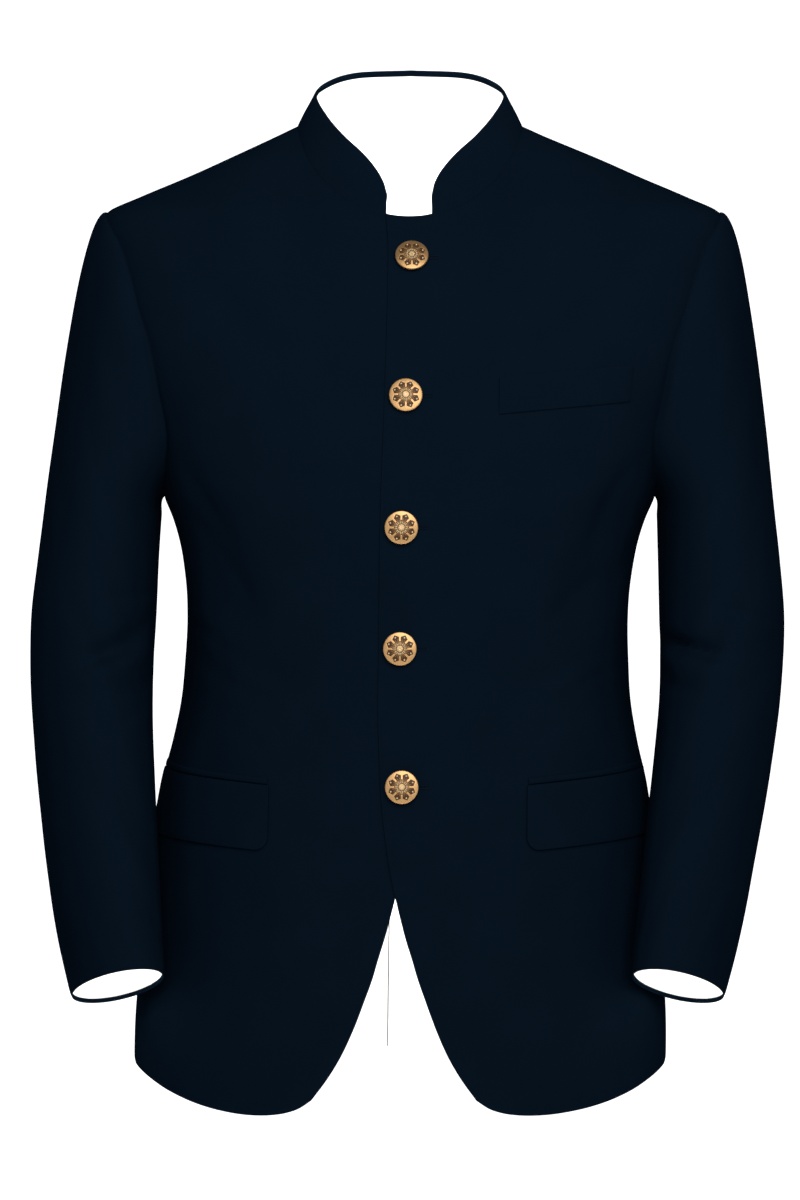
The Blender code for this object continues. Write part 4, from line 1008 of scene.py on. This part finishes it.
def collar_band(rows, columns, below=2.5):
    """Points and normals of the collar: seam to top edge, right front end to left.

    Each column runs straight from some way below the neck seam to the top edge, bowed out
    by 1.4 mm where the collar is tall.
    """
    half = []
    for side in (-1, 1):
        steps = np.linspace(0, 9, columns)
        x, height = COLLAR.at("seam_x", steps), COLLAR.at("seam_height", steps)
        x = np.maximum(x, 0.01)
        front = skin("front", side, reach_at("front", height, x=x), height)
        back = skin("back", side, reach_at("back", height, x=x), height)
        seam = np.where((steps <= 6)[:, None], front, back)
        top = stand(np.stack([side * COLLAR.at("top_x", steps), COLLAR.at("top_y", steps),
                              COLLAR.at("top_height", steps)], axis=1))
        half.append((seam, top))
    seam = np.vstack([half[0][0][:-1], half[1][0][::-1]])
    top = np.vstack([half[0][1][:-1], half[1][1][::-1]])
    tall = np.linalg.norm(top - seam, axis=1, keepdims=True)
    up = (top - seam) / tall
    along = -below + np.linspace(0, 1, rows)[:, None, None] * (tall + below)
    band = seam + up * along
    normal = unit(np.cross(np.gradient(band, axis=1), np.broadcast_to(up, band.shape)))
    middle = (0, -5, -10.0)
    normal *= np.where(np.sum(normal * (band - middle), -1, keepdims=True) < 0, -1, 1)
    for _ in range(12):
        normal[:, 1:-1] = unit(normal[:, :-2] + 2 * normal[:, 1:-1] + normal[:, 2:])
    bow = 1.4 * np.minimum(tall / 45, 1) ** 2
    return band + normal * bow * np.sin(np.pi * along / tall), normal, tall[:, 0]


def make_collar():
    """Standing collar of cloth with a rolled top edge."""
    base, normal, _ = collar_band(20, 120)
    sew("collar", "collar", base, normal, COLLAR_WALL, BARE, roll=0.6)


def make_collar_lining():
    """White lining of the collar, which stops short of its top edge and its ends."""
    below, ends = 4.5, 3
    base, normal, tall = collar_band(20, 120, below)
    rows, columns = base.shape[:2]
    share = np.linspace(0.0, 1, rows)[:, None] * (1 - COLLAR_RIM / (tall + below))
    place = np.clip(share * (rows - 1), 0, rows - 1.001)
    i, j = place.astype(int), np.broadcast_to(np.arange(columns), place.shape)
    part = (place - i)[..., None]
    inside = ((1 - part) * base[i, j] + part * base[i + 1, j])[:, ends:-ends]
    normal = normal[i, j][:, ends:-ends]
    sew("collar_lining", "collar_lining", inside - normal * (COLLAR_WALL + GAP), normal,
        LINING_WALL, WHITE, ["collar"], roll=0.3)


def flap_place(word):
    """Side, reach of a flap's front end, and height of its top edge at a reach."""
    side = SIDES[word]
    start = FLAP_FROM + side * FRONT_EDGE.at("middle", -510.0)

    def top(reach):
        return FLAP_TOP + FLAP_RISE * (reach - start)

    return side, start, top


def make_flap(word):
    """Pocket flap: from its straight top to a hem whose front corner is a quarter round.

    It lies closer and thinner towards the side.
    """
    side, start, top = flap_place(word)
    bend = FLAP_CORNER * (1 - np.cos(np.linspace(0, np.pi / 2, 13)))
    reach = start + np.concatenate([bend, np.linspace(FLAP_CORNER, FLAP_LONG, 52)[1:]])
    into = np.clip(FLAP_CORNER - (reach - start), 0, FLAP_CORNER)
    low = top(reach) - FLAP_TALL + FLAP_CORNER - np.sqrt(FLAP_CORNER ** 2 - into ** 2)
    t = np.linspace(0, 1, 22)[:, None]
    height = low + t * (top(reach) - low)
    reach = np.broadcast_to(reach, height.shape)
    thin = 1 - 0.45 * ramp(reach - start, 60, 110)
    wave = 0.8 * (1 - t) ** 2 + 0.2 * np.sin(reach / 17 + side)
    base, normal = laid("front", side, reach, height, thin * (GAP + FLAP_WALL + wave))
    sew("pocket_flap_" + word, "pocket_flap", base, normal * thin[..., None], FLAP_WALL, BARE,
        ["front_" + word], roll=0.6, uv=np.stack([reach, height + 0.7 * reach], axis=-1))


def make_jet(word):
    """Rolled jet half a millimetre above a flap: a half-round lip a seam's width tall."""
    side, start, top = flap_place(word)
    reach, t = np.meshgrid(start + np.linspace(1, FLAP_LONG - 1, 60), np.linspace(0, 1, 9))
    thin = 1 - 0.6 * ramp(reach - start, 60, 110)
    lip = np.sqrt(np.clip(1 - (2 * t - 1) ** 2, 0, 1))
    base, normal = laid("front", side, reach, top(reach) + 0.5 + t * JET_TALL,
                        thin * (0.75 + lip))
    sew("pocket_jet_" + word, "pocket_jet", base, normal * thin[..., None], JET_WALL, BARE,
        ["front_" + word], roll=0.2)


def make_welt():
    """Breast welt: a slanted four-sided strip, 2 mm off the front and 2.7 mm at its top."""
    reach, t = np.meshgrid(np.linspace(WELT["inner"], WELT["outer"], 44), np.linspace(0, 1, 16))
    top = WELT["top_inner"] + WELT["rise"] * (reach - WELT["inner"])
    base, normal = laid("front", 1, reach, top - WELT["tall"] * (1 - t), 2.0 + 0.7 * t ** 2)
    sew("breast_welt", "breast_welt", base, normal, WELT_WALL, BARE, ["front_left"], roll=0.6)


# Buttons

def sector(radius, turn, count, shift=0.0):
    """Place along and aside the middle line of one of count equal sectors of a circle."""
    step = 2 * np.pi / count
    near = np.mod(turn + shift * step, step) - step / 2
    return radius * np.cos(near), radius * np.sin(near)


def spot(place, at, size, soft=0.2):
    """Round spot with a soft rim, some way out on the middle line of a sector."""
    return within(np.hypot(place[0] - at, place[1]), size, soft)


def rosette(radius, turn):
    """Enamel and bead fields and relief of the button's face, by polar place in mm.

    Eight kite-shaped petals of enamel, each with two gilt veins and a bead near its tip,
    a dark dot between each two, a ring of beads and a small eight-lobed flower.
    """
    u, v = sector(radius, turn, PETALS)
    tip_bead, v = spot((u, v), 8.75, 0.66, 0.25), np.abs(v)
    root, wide, tip = 3.9, 8.3, 10.7
    half = np.interp(u, [root, 4.8, wide, tip], [0.3, 1.3, 2.75, 0.0])
    petal = within(v, half, 0.22) * (u > root)
    vein = np.exp(-((v - 0.42 * half) / 0.14) ** 2) * within(u, 7.4, 0.8)
    rib = np.exp(-(v / 0.12) ** 2) * within(u, 6.2, 0.6)
    dot = spot(sector(radius, turn, PETALS, 0.5), 5.1, 0.62)
    bead = spot(sector(radius, turn, 2 * PETALS), 3.55, 0.52)
    flower = within(radius, 1.75 + 0.75 * np.cos(PETALS * turn), 0.25)
    eye = within(radius, 0.6, 0.2)
    enamel = np.clip(petal * (1 - 0.7 * vein) * (1 - 0.7 * rib) + dot, 0, 1)
    ring = within(radius, 4.35, 0.2) * (1 - within(radius, 2.4, 0.2)) * 0.75
    enamel = np.maximum(enamel * (1 - tip_bead), ring * (1 - bead))
    pearl = np.clip(tip_bead + bead + 0.75 * flower * (1 - eye), 0, 1)
    return enamel, pearl, 0.16 * pearl - 0.14 * enamel


def make_button(number, aside, height):
    """Domed gilt button, turned about its own axis, on a thread shank over the upper front.

    Its profile is a row of radii and heights: shank, back and rim, and a parabola for the face.
    """
    radius = bpy.context.scene.jacket_buttons.radius / MM
    foot, across, up, out = button_place(aside, height)
    back, thick, dome, sole = 1.8, 2.6, 1.7, 0.35
    edge = back + thick
    shank_r, shank_z = np.array([3.6, 3.0, 2.6, 2.6]), np.array([sole, 0.6, 1.0, back])
    side_r = radius * np.array([0.30, 0.90, 0.97, 1.0, 1.0, 0.985, 0.965])
    side_z = np.array([back, back, back + 0.35, back + 1.0, edge - 0.75, edge - 0.2, edge])
    face_r = np.linspace(0.0, 0.955, 46)[:0:-1] * radius
    face_z = edge - 0.1 + dome * (1 - (face_r / radius) ** 2)
    r, z = np.concatenate([shank_r, side_r, face_r]), np.concatenate([shank_z, side_z, face_z])
    turns = np.linspace(0, 2 * np.pi, 257)[:-1]
    rr, tt = np.meshgrid(r, turns, indexing="ij")
    shown = (np.arange(len(r)) >= len(r) - len(face_r))[:, None]
    enamel, pearl, relief = (field * shown for field in rosette(rr, tt))
    zz = z[:, None] + relief * within(rr, radius * 0.95, 0.8)
    ring = (foot + out * zz[..., None]
            + rr[..., None] * (np.cos(tt)[..., None] * across + np.sin(tt)[..., None] * up))
    points = np.vstack([[foot + out * sole], ring.reshape(-1, 3),
                        [foot + out * (edge - 0.1 + dome + 0.12)]])
    n, last = len(turns), len(points) - 1
    here, quads = rings(len(r), n, 1)
    a, b, c = (np.roll(here, -k, axis=1)[:, ::2] for k in (0, 1, 2))
    low = np.stack([0 * a[0], c[0], b[0], a[0]], -1)
    high = np.stack([0 * a[0] + last, a[-1], b[-1], c[-1]], -1)
    faces = np.vstack([quads, low, high])
    kinds = np.zeros(len(faces), int)
    kinds[:(len(shank_r) - 1) * n] = 1
    kinds[len(quads):len(quads) + n // 2] = 1
    name = "button_%d" % number
    thing = add(name, points, faces, ("gilt_and_enamel", "navy_thread"), kinds=kinds, crisp=45,
                values={"enamel": np.pad(enamel.ravel(), 1), "pearl": np.pad(pearl.ravel(), 1)})
    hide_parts(name)


def button_place(aside, height):
    """Foot of a button on the upper front, and the directions across, up and out there."""
    def there(dx, dz):
        return skin("front", 1, np.array([aside + dx]), np.array([height + dz]))[0]
    across, up = unit(there(4, 0) - there(-4, 0)), unit(there(0, 4) - there(0, -4))
    out = unit(np.cross(across, up))
    return there(0, 0), across, np.cross(out, across), out


def make_buttonhole(number, aside, height):
    """Worked buttonhole beside a button: a purled cord round a flat ring, on the cloth.

    The path is a stadium: two straight sides and two half circles. The cord is a tube
    along it whose radius beats once a stitch.
    """
    count, spokes = 300, 8
    straight, bend = HOLE_LONG - HOLE_TALL, HOLE_TALL / 2
    half_way = straight + np.pi * bend
    s = np.arange(count) / count * 2 * half_way
    again = s >= half_way
    run = s - half_way * again
    angle = np.maximum(run - straight, 0) / bend
    x, z = np.minimum(run, straight) + bend * np.sin(angle), -bend * np.cos(angle)
    x, z = np.where(again, straight - x, x), np.where(again, -z, z)
    start, lift = aside - 2.0, 0.32
    base, normal = laid("front", 1, start + x, height + z, lift)
    ahead = unit(np.roll(base, -1, axis=0) - np.roll(base, 1, axis=0))
    radius = (0.42 + 0.1 * np.cos(2 * np.pi * s / PURL))[:, None, None]
    turn = (np.arange(spokes) / spokes * 2 * np.pi)[:, None]
    ring = base[:, None] + radius * (1.25 * np.cos(turn) * np.cross(ahead, normal)[:, None]
                                     + 0.8 * np.sin(turn) * normal[:, None])
    _, faces = rings(count + 1, spokes)
    thing = add("buttonhole_%d" % number, ring.reshape(-1, 3), faces % (count * spokes),
                ("navy_thread",), crisp=80)


# Stage

def make_sweep(stage):
    """Round studio floor that curves up into a wall: a profile turned about the jacket."""
    low, far, bend, tall = stage.floor_level, stage.reach, 3.0, 3.2
    quarter = np.linspace(0, np.pi / 2, 25)[1:]
    r = np.concatenate([np.linspace(0.05, far - bend, 20), far - bend + bend * np.sin(quarter),
                        [far]])
    z = np.concatenate([np.full(20, low), low + bend * (1 - np.cos(quarter)), [low + tall]])
    r, z, turns = r[:, None], z[:, None], np.linspace(0, 2 * np.pi, 97)[:-1]
    points = np.stack([r * np.cos(turns), r * np.sin(turns), z + 0 * turns], -1)
    here, faces = rings(len(r), len(turns))
    mesh = bpy.data.meshes.new("studio_sweep")
    mesh.from_pydata(points.reshape(-1, 3).tolist(), [],
                     faces[:, [0, 3, 2, 1]].tolist() + [here[0].tolist()])
    mesh.materials.append(finish_of("studio_floor"))
    mesh.shade_smooth()
    thing = in_scene("studio_sweep", mesh)
    thing.visible_diffuse = False


# Lamps: a square soft light or a bulb, its place and size, and what share of which power
MIDDLE = (-0.0095, 0.0, -0.354)
LAMPS = named("name kind place size share power", (
    ("key_light", "AREA", (0.2, -1.75, 0.4), 1.4, 1.0, "key"),
    ("back_light", "AREA", (-1.0, 3.0, 0.8), 2.2, 2.0, "key"),
    ("low_light", "AREA", (0.0, 0.1, -1.3), 0.8, 0.3, "key"),
    ("inner_light", "POINT", (-0.006, 0.0, -0.35), 0.06, 1.0, "inner"),
    ("left_sleeve_light", "POINT", (0.205, -0.073, -0.59), 0.008, 0.02, "inner"),
    ("right_sleeve_light", "POINT", (-0.2225, -0.073, -0.59), 0.008, 0.02, "inner")))


def make_lamp(stage, name, kind, place, size, share, power):
    """Lamp that isn't seen itself: a soft light aimed at the jacket, or a bulb inside it."""
    lamp = bpy.data.lights.new(name, kind)
    lamp.energy = share * getattr(stage, power)
    thing = in_scene(name, lamp)
    thing.location = place
    thing.visible_camera = False
    if kind == "POINT":
        lamp.shadow_soft_size = size
        return
    lamp.shape, lamp.size = "SQUARE", size
    thing.rotation_euler = (Vector(MIDDLE) - Vector(place)).to_track_quat("-Z", "Y").to_euler()


def make_stage(stage):
    """Floor, sky, lights and the camera level with the jacket's middle."""
    make_sweep(stage)
    scene = bpy.context.scene
    scene.world = bpy.data.worlds.new("studio_sky")
    scene.world.use_nodes = True
    sky = scene.world.node_tree.nodes["Background"].inputs
    sky["Color"].default_value = (0.96, 0.98, 1.0, 1)
    sky["Strength"].default_value = stage.sky
    for lamp in LAMPS:
        make_lamp(stage, **lamp)
    lens = bpy.data.cameras.new("camera")
    lens.sensor_fit, lens.sensor_height, lens.lens = "VERTICAL", 36.0, stage.lens
    camera = in_scene("camera", lens)
    camera.location = (MIDDLE[0], -stage.distance, MIDDLE[2])
    camera.rotation_euler = (np.pi / 2, 0, 0)
    scene.camera = camera
    scene.view_settings.view_transform = "Standard"


# Sizes and colours that a user would change

button_low, button_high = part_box("button_3")


class JacketCloth(bpy.types.PropertyGroup):
    """Cloth and lining."""
    wall: bpy.props.FloatProperty(
        name="Cloth thickness", description="Suiting with its canvas", default=0.0018,
        min=0.001, max=0.003, unit="LENGTH", precision=5)
    roll: bpy.props.FloatProperty(
        name="Edge roll", description="How far an edge turns in", default=0.0007,
        min=0.0, max=0.0012, unit="LENGTH", precision=5)
    crease: bpy.props.FloatProperty(
        name="Creases", description="Depth of the fine creases, 1 as worn", default=1.0,
        min=0.0, max=2.0, subtype="FACTOR")
    twill: bpy.props.FloatProperty(
        name="Twill", description="Distance between the twill's lines", default=0.0009,
        min=0.0003, max=0.003, unit="LENGTH", precision=5)
    navy: bpy.props.FloatVectorProperty(
        name="Navy", description="Colour of the suiting", default=(0.0016, 0.0045, 0.0090),
        size=3, min=0, max=1, subtype="COLOR")
    lining: bpy.props.FloatVectorProperty(
        name="Lining", description="Colour of the lining", default=(0.86, 0.86, 0.84),
        size=3, min=0, max=1, subtype="COLOR")


class JacketButtons(bpy.types.PropertyGroup):
    """Gilt buttons."""
    radius: bpy.props.FloatProperty(
        name="Radius", description="Radius of a button", unit="LENGTH", precision=5,
        default=(button_high[0] - button_low[0]) / 2, min=0.006, max=0.02)
    gilt: bpy.props.FloatVectorProperty(
        name="Gilt", description="Colour of the metal", default=(0.30, 0.175, 0.075),
        size=3, min=0, max=1, subtype="COLOR")
    enamel: bpy.props.FloatVectorProperty(
        name="Enamel", description="Colour of the petals", default=(0.045, 0.018, 0.006),
        size=3, min=0, max=1, subtype="COLOR")
    pearl: bpy.props.FloatVectorProperty(
        name="Beads", description="Colour of the beads and the middle flower",
        default=(0.50, 0.39, 0.22), size=3, min=0, max=1, subtype="COLOR")


class JacketStage(bpy.types.PropertyGroup):
    """Studio round the jacket."""
    floor: bpy.props.FloatVectorProperty(
        name="Floor", description="Colour of the floor", default=(0.93, 0.93, 0.93),
        size=3, min=0, max=1, subtype="COLOR")
    floor_level: bpy.props.FloatProperty(
        name="Floor level", description="Height of the floor under the shoulders",
        default=-1.43, unit="LENGTH")
    reach: bpy.props.FloatProperty(
        name="Studio radius", description="From the jacket to the wall", default=10.0,
        min=7.0, unit="LENGTH")
    sky: bpy.props.FloatProperty(
        name="Sky light", description="Strength of the light from all round", default=0.43,
        min=0.0, subtype="FACTOR", soft_max=2.0)
    key: bpy.props.FloatProperty(
        name="Key light", description="Power of the main soft light", default=44.0,
        min=0.0, unit="POWER")
    inner: bpy.props.FloatProperty(
        name="Inner light", description="Power of the lamp in the hollow of the jacket",
        default=6.0, min=0.0, unit="POWER")
    lens: bpy.props.FloatProperty(
        name="Lens", description="Focal length of the camera in millimetres", default=200.0,
        min=10.0)
    distance: bpy.props.FloatProperty(
        name="Distance", description="From the camera to the jacket's middle", default=5.0,
        min=1.0, unit="LENGTH")


# Operators

class JACKET_OT_fronts(bpy.types.Operator):
    """Both fronts, the left over the right"""
    bl_idname = "jacket.fronts"
    bl_label = "Fronts"

    def execute(self, context):
        for word in SIDES:
            make_panel("front", word)
        return {"FINISHED"}


class JACKET_OT_backs(bpy.types.Operator):
    """Both backs, open in a vent below the waist"""
    bl_idname = "jacket.backs"
    bl_label = "Backs"

    def execute(self, context):
        for word in SIDES:
            make_panel("back", word)
        return {"FINISHED"}


class JACKET_OT_back_lining(bpy.types.Operator):
    """White lining of both backs"""
    bl_idname = "jacket.back_lining"
    bl_label = "Back Lining"

    def execute(self, context):
        for word in SIDES:
            make_back_lining(word)
        return {"FINISHED"}


class JACKET_OT_sleeves(bpy.types.Operator):
    """Top and under part of both sleeves"""
    bl_idname = "jacket.sleeves"
    bl_label = "Sleeves"

    def execute(self, context):
        for word in SIDES:
            make_sleeve("top_sleeve", word)
            make_sleeve("under_sleeve", word)
        return {"FINISHED"}


class JACKET_OT_collar(bpy.types.Operator):
    """Standing collar and its white lining"""
    bl_idname = "jacket.collar"
    bl_label = "Collar"

    def execute(self, context):
        make_collar()
        make_collar_lining()
        return {"FINISHED"}


class JACKET_OT_hip_pockets(bpy.types.Operator):
    """Flap and jet of both hip pockets"""
    bl_idname = "jacket.hip_pockets"
    bl_label = "Hip Pockets"

    def execute(self, context):
        for word in SIDES:
            make_flap(word)
            make_jet(word)
        return {"FINISHED"}


class JACKET_OT_breast_welt(bpy.types.Operator):
    """Welt of the breast pocket on the wearer's left"""
    bl_idname = "jacket.breast_welt"
    bl_label = "Breast Welt"

    def execute(self, context):
        make_welt()
        return {"FINISHED"}


class JACKET_OT_buttons(bpy.types.Operator):
    """Gilt buttons down the front"""
    bl_idname = "jacket.buttons"
    bl_label = "Buttons"

    def execute(self, context):
        for button in BUTTONS:
            make_button(**button)
        return {"FINISHED"}


class JACKET_OT_buttonholes(bpy.types.Operator):
    """Worked buttonhole under each button"""
    bl_idname = "jacket.buttonholes"
    bl_label = "Buttonholes"

    def execute(self, context):
        for button in BUTTONS:
            make_buttonhole(**button)
        return {"FINISHED"}


class JACKET_OT_stage(bpy.types.Operator):
    """Pale studio, soft lights and the camera"""
    bl_idname = "jacket.stage"
    bl_label = "Stage"

    def execute(self, context):
        make_stage(context.scene.jacket_stage)
        return {"FINISHED"}


OPERATORS = (JACKET_OT_stage, JACKET_OT_fronts, JACKET_OT_backs, JACKET_OT_back_lining,
             JACKET_OT_sleeves, JACKET_OT_collar, JACKET_OT_hip_pockets,
             JACKET_OT_breast_welt, JACKET_OT_buttons, JACKET_OT_buttonholes)
GROUPS = {"jacket_cloth": JacketCloth, "jacket_buttons": JacketButtons,
          "jacket_stage": JacketStage}


class JACKET_PT_panel(bpy.types.Panel):
    """Sizes and pieces of the jacket"""
    bl_idname = "JACKET_PT_panel"
    bl_label = "Bandhgala Jacket"
    bl_space_type = "VIEW_3D"
    bl_region_type = "UI"
    bl_category = "Jacket"

    def draw(self, context):
        for name, group in GROUPS.items():
            box = self.layout.box()
            box.label(text=group.__doc__)
            for key in group.__annotations__:
                box.prop(getattr(context.scene, name), key)
        for operator in OPERATORS:
            self.layout.operator(operator.bl_idname)


def register():
    for made in (*GROUPS.values(), *OPERATORS, JACKET_PT_panel):
        bpy.utils.register_class(made)
    for name, group in GROUPS.items():
        setattr(bpy.types.Scene, name, bpy.props.PointerProperty(type=group))


def unregister():
    for name in GROUPS:
        delattr(bpy.types.Scene, name)
    for made in reversed((*GROUPS.values(), *OPERATORS, JACKET_PT_panel)):
        bpy.utils.unregister_class(made)


def main():
    register()
    for operator in OPERATORS:
        group, name = operator.bl_idname.split(".")
        getattr(getattr(bpy.ops, group), name)()


if __name__ == "__main__":
    main()
